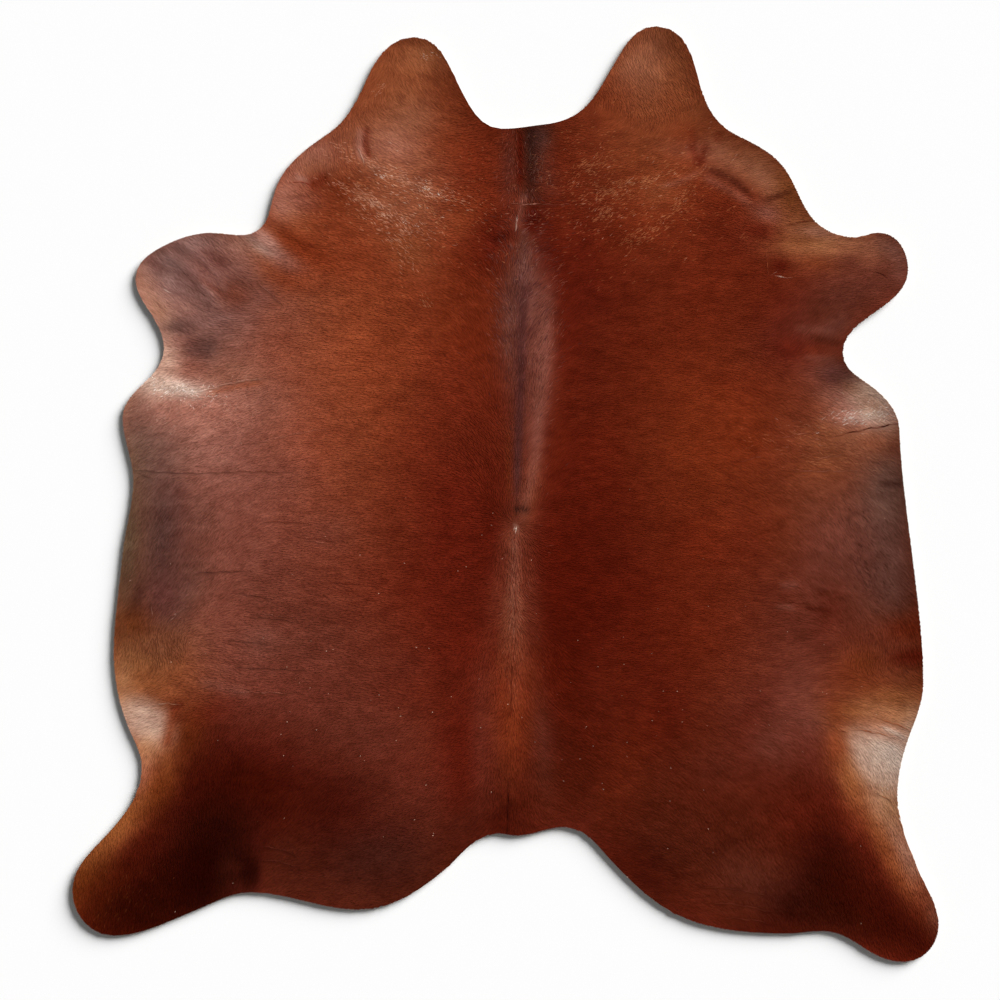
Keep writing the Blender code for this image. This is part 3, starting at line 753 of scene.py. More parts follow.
    Fold("dark mark 2", (0.685, -0.261), (0.755, -0.271), 0, 0.005, -0.0005, Tint.BISTRE, 0.5),
    Fold("light mark 1", (0.63, -0.212), (0.675, -0.208), 0, 0.007, 0.0004, Tint.ROSE, 0.4),
    Fold("light mark 2", (0.62, -0.258), (0.668, -0.262), 0, 0.006, 0.0004, Tint.ROSE, 0.4),
    # Right groin.
    Fold("wrinkle 1", (0.85, -0.515), (0.938, -0.548), 0.003, 0.004, 0, Tint.SADDLE, 0.6),
    Fold("wrinkle 2", (0.79, -0.541), (0.88, -0.557), 0.003, 0.004, 0, Tint.SADDLE, 0.6),
    Fold("light arc", (0.862, -0.535), (0.926, -0.568), 0.003, 0.005, 0.0005, Tint.IVORY, 0.55),
    Fold("lower arc", (0.85, -0.688), (0.89, -0.712), 0.003, 0.003, 0, Tint.SADDLE, 0.55),
    Fold("nick", (0.762, -0.545), (0.784, -0.546), 0, 0.004, 0, Tint.BISTRE, 0.5),
    # Right haunch.
    Fold("ripple 1", (0.45, -0.905), (0.6, -0.925), 0.006, 0.004, 0, Tint.PLUM, 0.45),
    Fold("ripple 2", (0.455, -0.94), (0.61, -0.962), 0.006, 0.004, 0, Tint.PLUM, 0.45),
    Fold("ripple 3", (0.49, -0.975), (0.61, -0.988), 0.004, 0.004, 0, Tint.PLUM, 0.4),
)


# ---------------------------------------------------------------- the hide's nature


@dataclass(frozen=True)
class Mist:
    """Smooth random variation over the hide, from -1 to 1, the same in every run."""

    cell: float
    seed: int
    stretch: float = 1.0  # how much longer it is across the hide than along it
    side: int = 701  # cells from where it starts to where it starts again

    def at(self, x: np.ndarray, y: np.ndarray) -> np.ndarray:
        """Returns the variation at each place."""
        lattice = np.random.default_rng(self.seed).uniform(-1.0, 1.0, (self.side, self.side))
        return between_points(lattice, x / (self.cell * self.stretch), y / self.cell, level=True)


@dataclass(frozen=True)
class Mottle:
    """One size of uneven lightness or warmth in the coat."""

    mist: Mist
    light: float = 0.0  # how much lighter or darker, as a share
    warmth: float = 0.0  # how much redder or greyer, as a share
    warm: tuple[float, float, float] = (0.3, -0.7, -1.0)  # what warmth does to red, green and blue

    def gain(self, x: np.ndarray, y: np.ndarray) -> np.ndarray:
        """Returns what each place's red, green and blue light are multiplied by."""
        amount = self.mist.at(x, y)[:, None]
        return np.exp(amount * (self.light + self.warmth * np.array(self.warm)))


MOTTLES = (
    Mottle(Mist(0.110, 3), light=0.05, warmth=0.05),
    Mottle(Mist(0.045, 5, 1.5), light=0.07, warmth=-0.01),
    Mottle(Mist(0.020, 7, 1.8), light=0.09, warmth=-0.03),
    Mottle(Mist(0.009, 11, 2.2), light=0.17, warmth=-0.05),
    Mottle(Mist(0.005, 13, 1.8), light=0.15, warmth=-0.03),
)


@dataclass(frozen=True)
class Markings:
    """The coat's colour at any place on the hide."""

    base: Tint
    patches: tuple[Patch, ...]
    folds: tuple[Fold, ...]
    mottles: tuple[Mottle, ...]

    def display(self, x: np.ndarray, y: np.ndarray) -> np.ndarray:
        """Lays each patch, and then each soft fold's tint, over those before it.

        Args:
            x: metres across the hide.
            y: metres along it.

        Returns:
            A row of red, green and blue, from 0 to 255, for each place.
        """
        colour = np.repeat(np.array([self.base.value], float), len(x), axis=0)
        soft = (fold for fold in self.folds if fold.tint and not fold.fine)
        for layer in (*self.patches, *soft):
            share = layer.tinting(x, y)
            touched = share > 0.0
            tint = np.array(layer.tint.value, float)
            colour[touched] += (tint - colour[touched]) * share[touched, None]
        return colour

    def mottling(self, x: np.ndarray, y: np.ndarray) -> np.ndarray:
        """Returns what the light of each place is multiplied by, for an uneven coat."""
        gain = np.ones((len(x), 3))
        for mottle in self.mottles:
            gain *= mottle.gain(x, y)
        return gain


class Swell(NamedTuple):
    """A place where the hide doesn't lie quite flat on the floor."""

    name: str
    x: float
    y: float
    long: float
    wide: float
    turn: float
    rise: float


SWELLS = (
    Swell("left foreleg, fold", -0.72, 0.5, 0.14, 0.03, -50, 0.003),
    Swell("right foreleg, edge", 0.88, 0.5, 0.1, 0.05, 90, 0.003),
    Swell("left hind leg, edge", -0.95, -0.88, 0.12, 0.05, 60, 0.003),
    Swell("right hind leg, edge", 0.93, -0.98, 0.1, 0.05, -60, 0.002),
)


@dataclass
class Outline:
    """The hide's cut edge, as a closed run of places."""

    corners: np.ndarray  # a row of x and y each
    cell: float = 0.012  # metres between the places of the rough depths
    margin: int = 3  # cells that the rough depths reach past the edge
    runs: np.ndarray = field(init=False)  # from each corner to the next
    lowest: np.ndarray = field(init=False)  # where the rough depths start
    depths: np.ndarray = field(init=False)  # by column and row

    def __post_init__(self) -> None:
        """Measures the runs, and the rough depths on a lattice over the hide."""
        self.runs = np.roll(self.corners, -1, axis=0) - self.corners
        self.lowest = self.corners.min(axis=0) - self.margin * self.cell
        size = self.corners.max(axis=0) + self.margin * self.cell - self.lowest
        columns, rows = np.ceil(size / self.cell).astype(int) + 1
        column, row = np.meshgrid(np.arange(columns), np.arange(rows), indexing="ij")
        x = (self.lowest[0] + column * self.cell).ravel()
        y = (self.lowest[1] + row * self.cell).ravel()
        self.depths = self.depth(x, y).reshape(columns, rows)

    def holds(self, x: np.ndarray, y: np.ndarray) -> np.ndarray:
        """Returns whether each place is inside the edge."""
        inside = np.zeros(len(x), bool)
        for (ax, ay), (dx, dy) in zip(self.corners, self.runs):
            crosses = (ay > y) != (ay + dy > y)
            if dy:
                inside ^= crosses & (x < ax + dx * (y - ay) / dy)
        return inside

    def depth(self, x: np.ndarray, y: np.ndarray) -> np.ndarray:
        """Returns how far each place is from the edge: positive inside it, negative outside."""
        nearest = np.full(len(x), np.inf)
        for (ax, ay), (dx, dy) in zip(self.corners, self.runs):
            px, py = x - ax, y - ay
            share = np.clip((px * dx + py * dy) / (dx * dx + dy * dy), 0.0, 1.0)
            nearest = np.minimum(nearest, (px - share * dx) ** 2 + (py - share * dy) ** 2)
        return np.where(self.holds(x, y), 1.0, -1.0) * np.sqrt(nearest)

    def rough_depth(self, x: np.ndarray, y: np.ndarray) -> np.ndarray:
        """Returns the same, quickly, from the depths round each place."""
        column, row = (x - self.lowest[0]) / self.cell, (y - self.lowest[1]) / self.cell
        return between_points(self.depths, column, row)


@dataclass(frozen=True)
class Relief:
    """How high the hide's face stands over the floor, besides its own thickness."""

    outline: Outline
    swells: tuple[Swell, ...]
    folds: tuple[Fold, ...]
    rim_rise: float = 0.0092  # how far the cut edge curls up off the floor
    rim_width: float = 0.085

    def lift(self, x: np.ndarray, y: np.ndarray) -> np.ndarray:
        """Returns how far the underside stands off the floor at each place."""
        inwards = np.clip(self.outline.rough_depth(x, y) / self.rim_width, 0.0, 1.0)
        height = self.rim_rise * (1.0 - inwards) ** 2
        for swell in self.swells:
            height += swell.rise * oval(swell, x, y)
        return height

    def face(self, x: np.ndarray, y: np.ndarray) -> np.ndarray:
        """Returns how far the soft folds raise or sink the face at each place."""
        height = np.zeros(len(x))
        for fold in self.folds:
            if fold.rise and not fold.fine:
                height += fold.rise * fold.weight(x, y)
        return height


class Fleck(NamedTuple):
    """A soft oval in which some of the locks are of another tint."""

    name: str
    tint: Tint
    x: float
    y: float
    long: float
    wide: float
    turn: float
    share: float  # of the locks at its middle
    strength: float = 0.8
    size: float = 1.0  # times the length of the locks round it
    heading: float | None = None  # degrees from +X, where they don't follow the locks round them
    fineness: float = 0.7  # times the width of the locks round it


FLECKS = (
    # Left neck: bands of pale hair tips; the ivory spots among them are painted highlight, where single
    # hairs glint.
    Fleck("upper band", Tint.FAWN, -0.24, 0.728, 0.12, 0.014, -22, 0.48, 0.56, 0.85, 160, 0.95),
    Fleck("band's end", Tint.FAWN, -0.175, 0.706, 0.025, 0.012, -20, 0.5, 0.65, 0.75, 160, 0.9),
    Fleck("lower band", Tint.FAWN, -0.31, 0.672, 0.065, 0.013, -28, 0.45, 0.56, 0.85, 150, 0.95),
    Fleck("cluster 1", Tint.FAWN, -0.25, 0.628, 0.07, 0.018, -28, 0.46, 0.56, 0.85, 145, 0.95),
    Fleck("bright spot", Tint.IVORY, -0.215, 0.617, 0.012, 0.006, -20, 0.55, 0.75, 0.5, 150, 0.7),
    Fleck("spot, inner", Tint.IVORY, -0.17, 0.7, 0.018, 0.007, -25, 0.5, 0.75, 0.55, 150, 0.75),
    Fleck("spot, upper", Tint.IVORY, -0.285, 0.733, 0.016, 0.006, -20, 0.45, 0.75, 0.55, 150, 0.75),
    Fleck("cluster 2", Tint.FAWN, -0.25, 0.59, 0.04, 0.018, -40, 0.36, 0.54, 0.85, 140, 0.95),
    Fleck("cluster 3", Tint.FAWN, -0.22, 0.525, 0.025, 0.016, -50, 0.32, 0.5, 0.85, 135, 0.95),
    Fleck("inner strokes", Tint.STRAW, -0.183, 0.668, 0.03, 0.013, -50, 0.36, 0.56, 0.8, 135, 0.9),
    Fleck("lone stroke", Tint.STRAW, -0.18, 0.44, 0.014, 0.008, -60, 0.6, 0.67, 0.6, 122, 0.7),
    Fleck("thin scatter", Tint.STRAW, -0.25, 0.69, 0.14, 0.1, -25, 0.13, 0.46, 0.7, 155, 0.9),
    Fleck("bright strokes", Tint.CREAM, -0.25, 0.695, 0.1, 0.045, -24, 0.045, 0.66, 0.6, 158, 0.8),
    # Left flap.
    Fleck("streak", Tint.STRAW, -0.19, 1.0, 0.04, 0.012, 80, 0.25, 0.4, 0.7, 100, 0.55),
    Fleck("glint", Tint.CREAM, -0.18, 1.008, 0.014, 0.006, 0, 0.6, 0.78, 0.5, 172, 0.75),
    Fleck("rim strokes", Tint.FAWN, -0.295, 0.928, 0.014, 0.007, 30, 0.5, 0.75, 0.6, 28, 0.7),
    # Right neck.
    Fleck("cluster 1", Tint.STRAW, 0.185, 0.75, 0.045, 0.018, 40, 0.4, 0.5, 0.78, 28, 0.92),
    Fleck("cluster 2", Tint.STRAW, 0.245, 0.695, 0.06, 0.012, 16, 0.44, 0.52, 0.78, 24, 0.92),
    Fleck("cluster 3", Tint.STRAW, 0.325, 0.722, 0.07, 0.012, 10, 0.42, 0.52, 0.78, 20, 0.92),
    Fleck("cluster 4", Tint.STRAW, 0.23, 0.65, 0.03, 0.012, 30, 0.42, 0.5, 0.78, 28, 0.92),
    Fleck("cluster 5", Tint.STRAW, 0.32, 0.602, 0.032, 0.018, 40, 0.36, 0.5, 0.78, 32, 0.92),
    Fleck("cluster 6", Tint.PEACH, 0.275, 0.582, 0.024, 0.012, 35, 0.36, 0.46, 0.72, 32, 0.92),
    Fleck("lower row", Tint.STRAW, 0.395, 0.67, 0.045, 0.012, 48, 0.42, 0.52, 0.74, 32, 0.92),
    Fleck("inner row", Tint.PEACH, 0.17, 0.805, 0.02, 0.026, 0, 0.24, 0.46, 0.72, 24, 0.92),
    Fleck("thin scatter", Tint.PEACH, 0.29, 0.7, 0.17, 0.11, 10, 0.13, 0.42, 0.72, 25, 0.92),
    Fleck("bright strokes", Tint.FAWN, 0.28, 0.68, 0.12, 0.07, 20, 0.04, 0.7, 0.65, 35, 0.8),
    Fleck("tuft, specks", Tint.FAWN, 0.07, 0.64, 0.03, 0.02, 0, 0.08, 0.6, 0.45, 5, 0.55),
    Fleck("beside the tuft, specks", Tint.STRAW, -0.075, 0.69, 0.07, 0.035, 90, 0.05, 0.5, 0.45, 175, 0.55),
    # Tuft.
    Fleck("grey strands", Tint.TAUPE, 0.075, 0.78, 0.06, 0.018, 95, 0.3, 0.5, 1.0, 255),
    Fleck("left strands", Tint.ROSE, 0.012, 0.76, 0.06, 0.016, 85, 0.16, 0.45, 0.9, 262),
    # Withers.
    Fleck("top strands", Tint.MAUVE, 0.042, 0.52, 0.09, 0.028, 90, 0.26, 0.5, 1.1, None, 0.6),
    Fleck("dark strands", Tint.DAMSON, 0.046, 0.44, 0.18, 0.045, 90, 0.36, 0.75, 1.1, None, 0.7),
    Fleck("left strands", Tint.MAUVE, 0, 0.42, 0.09, 0.022, 96, 0.18, 0.46, 1.0, None, 0.6),
    Fleck("right strands", Tint.BLUSH, 0.105, 0.4, 0.09, 0.022, 84, 0.18, 0.4, 1.0, None, 0.6),
    Fleck("right strands, low", Tint.BLUSH, 0.085, 0.18, 0.15, 0.016, 90, 0.09, 0.32, 1.0, None, 0.6),
    # Croup.
    Fleck("strands", Tint.BLUSH, 0.02, -0.24, 0.14, 0.024, 90, 0.07, 0.3, 1.0, None, 0.6),
    Fleck("dark strands", Tint.WINE, 0.02, -0.34, 0.22, 0.03, 90, 0.22, 0.5, 1.0, None, 0.8),
    # Left armpit: the glints are painted highlight, white locks among the pale hair.
    Fleck("glints", Tint.GLINT, -0.745, 0.24, 0.055, 0.014, -8, 0.4, 0.6, 0.6, 215, 0.55),
    Fleck("glints, right", Tint.GLINT, -0.725, 0.232, 0.045, 0.014, -8, 0.3, 0.55, 0.6, -45, 0.55),
    Fleck("scatter", Tint.CREAM, -0.76, 0.215, 0.09, 0.04, 10, 0.16, 0.4, 0.7, 225, 0.55),
    Fleck("scatter, right", Tint.CREAM, -0.68, 0.2, 0.08, 0.04, 10, 0.14, 0.35, 0.7, -50, 0.55),
    # Right armpit: the glints are painted highlight, white locks among the pale hair.
    Fleck("glints", Tint.GLINT, 0.825, 0.181, 0.055, 0.015, 8, 0.4, 0.6, 0.6, 25, 0.55),
    Fleck("scatter", Tint.CREAM, 0.8, 0.19, 0.08, 0.035, 8, 0.16, 0.4, 0.7, -15, 0.55),
    # Right side.
    Fleck("wisps", Tint.STRAW, 0.69, 0.14, 0.11, 0.014, 6, 0.26, 0.42, 0.9, -8, 0.8),
    Fleck("lower wisps", Tint.STRAW, 0.74, 0.085, 0.07, 0.016, 0, 0.2, 0.42, 0.9, -12, 0.8),
    # painted highlight: where the pale hair of the groin glints
    Fleck("right groin, glints", Tint.GLINT, 0.872, -0.668, 0.012, 0.008, -40, 0.3, 0.6, 0.5, -60, 0.5),
    Fleck("whorl, white hair", Tint.IVORY, 0.024, -0.08, 0.007, 0.003, 85, 0.8, 0.75, 0.6, 255, 0.6),
    Fleck("right flank, dark hair", Tint.INK, 0.83, -0.14, 0.12, 0.035, 105, 0.3, 0.5, 1.2, -60),
    Fleck("left flank, dark hair", Tint.INK, -0.78, -0.1, 0.2, 0.07, 85, 0.2, 0.3, 1.2),
    Fleck("left side, dark hair", Tint.COCOA, -0.66, -0.05, 0.3, 0.12, 85, 0.12, 0.26, 1.1),
    Fleck("left hind leg, ginger hair", Tint.AMBER, -0.88, -0.9, 0.09, 0.05, 50, 0.06, 0.35, 1.0, 240, 0.5),
    Fleck("loin, white specks", Tint.CREAM, 0.08, -0.45, 0.8, 0.32, 0, 0.0022, 0.85, 0.22),
)


class Lay(NamedTuple):
    """The way the hair points at one place on the hide."""

    name: str
    x: float
    y: float
    heading: float  # degrees from +X, from a hair's root to its tip
    spread: float = 0.12  # metres over which it holds
    paired: bool = True  # whether the other side of the spine has its mirror image

    def mirrored(self) -> "Lay":
        """Returns its mirror image on the other side of the spine."""
        return self._replace(x=2.0 * SPINE_X - self.x, heading=180.0 - self.heading)


LAYS = (
    Lay("neck tuft", 0.048, 0.8, 268, 0.022, False),
    Lay("neck tuft, foot", 0.044, 0.68, 268, 0.022, False),
    # Spine.
    Lay("withers", 0.024, 0.5, 90, 0.035, False),
    Lay("back", 0.024, 0.25, 90, 0.035, False),
    Lay("above the whorl", 0.024, 0.02, 90, 0.035, False),
    Lay("below the whorl", 0.022, -0.16, 270, 0.03, False),
    Lay("croup", 0.02, -0.4, 270, 0.03, False),
    Lay("tail", 0.018, -0.66, 270, 0.05, False),
    Lay("beside the withers", 0.085, 0.38, 62, 0.04),
    Lay("beside the withers, upper", 0.1, 0.46, 42, 0.05),
    Lay("beside the back", 0.08, 0.1, 50, 0.04),
    Lay("beside the tuft", 0.085, 0.79, -20, 0.06),
    Lay("beside the croup", 0.08, -0.4, -65, 0.05),
    Lay("shoulder, inner", 0.29, 0.53, 18),
    Lay("shoulder", 0.42, 0.4, -4),
    Lay("shoulder, upper", 0.24, 0.67, 5),
    Lay("back", 0.39, 0.19, -3),
    Lay("back, outer", 0.61, 0.18, -28),
    Lay("side", 0.735, 0.02, -26),
    Lay("flank", 0.765, -0.08, -60),
    # Flank.
    Lay("lower", 0.815, -0.22, -46),
    Lay("rim", 0.865, -0.34, -90, 0.06),
    Lay("above the groin", 0.8, -0.36, 235, 0.05),
    Lay("groin", 0.857, -0.51, -18, 0.08),
    Lay("loin", 0.26, -0.21, -8),
    Lay("loin, outer", 0.54, -0.21, -8),
    Lay("hip", 0.33, -0.39, -3),
    Lay("thigh", 0.72, -0.4, 10, 0.1),
    Lay("rump", 0.22, -0.6, -30),
    Lay("rump, outer", 0.54, -0.6, -30),
    Lay("buttock", 0.31, -0.86, -18),
    Lay("haunch", 0.52, -0.76, -60),
    Lay("hind leg", 0.79, -0.66, -67),
    Lay("hind leg, end", 0.87, -0.93, -75),
    Lay("right shoulder rim", 0.45, 0.8, 20, 0.08, False),
    # Right shoulder.
    Lay("fold", 0.45, 0.665, -15, 0.07, False),
    Lay("outer", 0.54, 0.665, -25, 0.06, False),
    Lay("corner", 0.56, 0.71, 30, 0.04, False),
    Lay("right foreleg", 0.82, 0.53, 5, 0.1, False),
    Lay("right foreleg, lower", 0.7, 0.37, 50, 0.07, False),
    # Right flap.
    Lay("inner", 0.22, 0.99, 125, 0.06, False),
    Lay("top", 0.32, 1.03, 100, 0.06, False),
    Lay("outer", 0.37, 0.93, 130, 0.08, False),
    # Left flap.
    Lay("outer", -0.32, 0.957, 55, 0.07, False),
    Lay("inner", -0.21, 0.964, 130, 0.07, False),
    Lay("left neck", -0.243, 0.826, 150, 0.07, False),
    Lay("left shoulder rim", -0.4, 0.8, 95, 0.06, False),
    Lay("left foreleg", -0.776, 0.504, 140, 0.12, False),
    Lay("left armpit", -0.59, 0.216, 200, 0.12, False),
    Lay("left armpit, outer", -0.772, 0.17, 217, 0.08, False),
    Lay("left flank", -0.806, -0.094, 243, 0.12, False),
    Lay("left hind leg", -0.7, -0.7, 260, 0.16, False),
    Lay("left haunch, foot", -0.45, -0.81, 180, 0.1, False),
)


@dataclass(frozen=True)
class Growth:
    """The way the hair points at any place on the hide."""

    lays: tuple[Lay, ...]
    falloff: float = -3.0  # the power by which a row counts for less further away

    def heading(self, x: np.ndarray, y: np.ndarray) -> np.ndarray:
        """Returns the angle, in radians from +X, at which the hair lies at each place."""
        east, north = np.zeros(len(x)), np.zeros(len(x))
        mirrored = (lay.mirrored() for lay in self.lays if lay.paired)
        for lay in (*self.lays, *mirrored):
            apart = ((x - lay.x) ** 2 + (y - lay.y) ** 2) / lay.spread**2
            weight = (1.0 + apart) ** self.falloff
            east += weight * math.cos(math.radians(lay.heading))
            north += weight * math.sin(math.radians(lay.heading))
        return np.arctan2(north, east)


@dataclass(frozen=True)
class Nature:
    """What the skin and the coat share: where they end, how they lie, and their colours."""

    outline: Outline
    relief: Relief
    markings: Markings
    growth: Growth


# ---------------------------------------------------------------- finishes


class Bench:
    """One material's nodes, made and joined by short calls."""

    def __init__(self, name: str) -> None:
        """Starts a material with its shader."""
        self.material = bpy.data.materials.new(name)
        self.material.use_nodes = True
        self.tree = self.material.node_tree
        self.shader = self.tree.nodes["Principled BSDF"]

    def node(self, kind: str, **settings: object) -> bpy.types.Node:
        """Adds a node and sets its properties and unlinked sockets.

        Args:
            kind: the node's type name, after "ShaderNode".
            settings: properties by name, and sockets by name with spaces as underscores.

        Returns:
            The new node.
        """
        made = self.tree.nodes.new(f"ShaderNode{kind}")
        for name, value in settings.items():
            if hasattr(made, name):
                setattr(made, name, value)
            else:
                made.inputs[name.replace("_", " ")].default_value = value
        return made

    def join(self, source: bpy.types.NodeSocket, target: bpy.types.NodeSocket) -> None:
        """Links one socket to another."""
        self.tree.links.new(source, target)

    def grain(self, scale: float, detail: float) -> bpy.types.NodeSocket:
        """Returns the height of a noise texture on Object coordinates, from 0 to 1."""
        noise = self.node("TexNoise", Scale=scale, Detail=detail)
        self.join(self.node("TexCoord").outputs["Object"], noise.inputs["Vector"])
        return noise.outputs["Fac"]

    def between(self, source: bpy.types.NodeSocket, low: float, high: float) -> bpy.types.NodeSocket:
        """Returns a value from 0 to 1 spread from low to high."""
        spread = self.node("MapRange", To_Min=low, To_Max=high)
        self.join(source, spread.inputs["Value"])
        return spread.outputs["Result"]

    def bump(self, height: bpy.types.NodeSocket, strength: float, distance: float) -> None:
        """Puts a height on the shader's normal."""
        made = self.node("Bump", Strength=strength, Distance=distance)
        self.join(height, made.inputs["Height"])
        self.join(made.outputs["Normal"], self.shader.inputs["Normal"])

    def set(self, **values: object) -> None:
        """Sets the shader's own sockets by name, with spaces as underscores."""
        for name, value in values.items():
            self.shader.inputs[name.replace("_", " ")].default_value = value


@dataclass(frozen=True)
class HairFinish:
    """Glossy short hair: each lock has its own tint, with finer strands in it."""

    name: str = "cowhide_hair"
    roughness: float = 0.50
    specular: float = 0.045
    specular_tint: Colour = (1.0, 0.34, 0.16, 1.0)
    strands: float = 700.0  # the noise's scale
    detail: float = 2.0
    darkest: float = 0.91  # times the tint, between strands and on them
    lightest: float = 1.09
    bump: float = 0.0
    bump_height: float = 0.001

    def material(self) -> bpy.types.Material:
        """Returns the hair's material."""
        bench = Bench(self.name)
        bench.set(
            Roughness=self.roughness,
            Specular_IOR_Level=self.specular,
            Specular_Tint=self.specular_tint,
        )
        tint = bench.node("Attribute", attribute_name=TINT)
        strands = bench.grain(self.strands, self.detail)
        shade = bench.node("VectorMath", operation="SCALE")
        bench.join(tint.outputs["Color"], shade.inputs["Vector"])
        bench.join(bench.between(strands, self.darkest, self.lightest), shade.inputs["Scale"])
        bench.join(shade.outputs["Vector"], bench.shader.inputs["Base Color"])
        if self.bump:
            bench.bump(strands, self.bump, self.bump_height)
        return bench.material


@dataclass(frozen=True)
class UnderhairFinish(HairFinish):
    """The short dense hair against the skin, which shows between the locks."""

    name: str = "cowhide_underhair"
    roughness: float = 0.7
    specular: float = 0.03
    strands: float = 900.0
    detail: float = 3.0
    darkest: float = 0.75
    lightest: float = 1.2
    bump: float = 0.5


@dataclass(frozen=True)
class SuedeFinish:
    """The pale napped underside and the cut edge."""

    name: str = "cowhide_suede"
    colour: Colour = (0.56, 0.44, 0.31, 1.0)
    shade: Colour = (0.42, 0.32, 0.22, 1.0)
    specular: float = 0.1
    sheen: float = 0.15
    sheen_roughness: float = 0.6
    nap: float = 420.0  # the noise's scale, and its detail
    nap_detail: float = 4.0
    blotches: float = 9.0
    blotch_detail: float = 3.0
    shading: tuple[float, float] = (-0.6, 1.8)  # how far the shade goes from bare nap to blotch
    roughness: tuple[float, float] = (0.8, 1.0)
    bump: float = 0.4
    bump_height: float = 0.0008

    def material(self) -> bpy.types.Material:
        """Returns the underside's material."""
        bench = Bench(self.name)
        bench.set(
            Specular_IOR_Level=self.specular,
            Sheen_Weight=self.sheen,
            Sheen_Roughness=self.sheen_roughness,
        )
        nap = bench.grain(self.nap, self.nap_detail)
        mix = bench.node("Mix", data_type="RGBA")
        mix.inputs["A"].default_value = self.colour
        mix.inputs["B"].default_value = self.shade
        share = bench.node("Math", operation="MULTIPLY")
        bench.join(nap, share.inputs[0])
        bench.join(bench.grain(self.blotches, self.blotch_detail), share.inputs[1])
        bench.join(bench.between(share.outputs["Value"], *self.shading), mix.inputs["Factor"])
        bench.join(mix.outputs["Result"], bench.shader.inputs["Base Color"])
        bench.join(bench.between(nap, *self.roughness), bench.shader.inputs["Roughness"])
        bench.bump(nap, self.bump, self.bump_height)
        return bench.material


# ---------------------------------------------------------------- the skin


def spots(mesh: bpy.types.Mesh) -> np.ndarray:
    """Returns the places of a mesh's vertices, a row of x, y and z each."""
    places = np.empty(3 * len(mesh.vertices), np.float32)
    mesh.vertices.foreach_get("co", places)
    return places.reshape(-1, 3)


def tint_mesh(mesh: bpy.types.Mesh, colours: np.ndarray) -> None:
    """Gives a mesh the colour attribute that the hair's finishes read.

    Args:
        mesh: the mesh.
        colours: red, green and blue in linear light, for each of its vertices.
    """
    tints = np.ones((len(mesh.vertices), 4), np.float32)
    tints[:, :3] = colours.reshape(-1, 3)
    layer = mesh.color_attributes.new(TINT, "FLOAT_COLOR", "POINT")
    layer.data.foreach_set("color", tints.ravel())


def flat_map(mesh: bpy.types.Mesh) -> np.ndarray:
    """Gives a mesh a UV map seen from straight above, and fills 0 to 1 with it.

    Args:
        mesh: the mesh, which gets the map.

    Returns:
        The map's corners, one row of u and v each.
    """
    places = spots(mesh)[:, :2]
    corner_verts = np.empty(len(mesh.loops), np.int32)
    mesh.loops.foreach_get("vertex_index", corner_verts)
    lowest, highest = places.min(axis=0), places.max(axis=0)
    corners = ((places - lowest) / (highest - lowest))[corner_verts]
    mesh.uv_layers.new(name=MAP).data.foreach_set("uv", corners.astype(np.float32).ravel())
    return corners


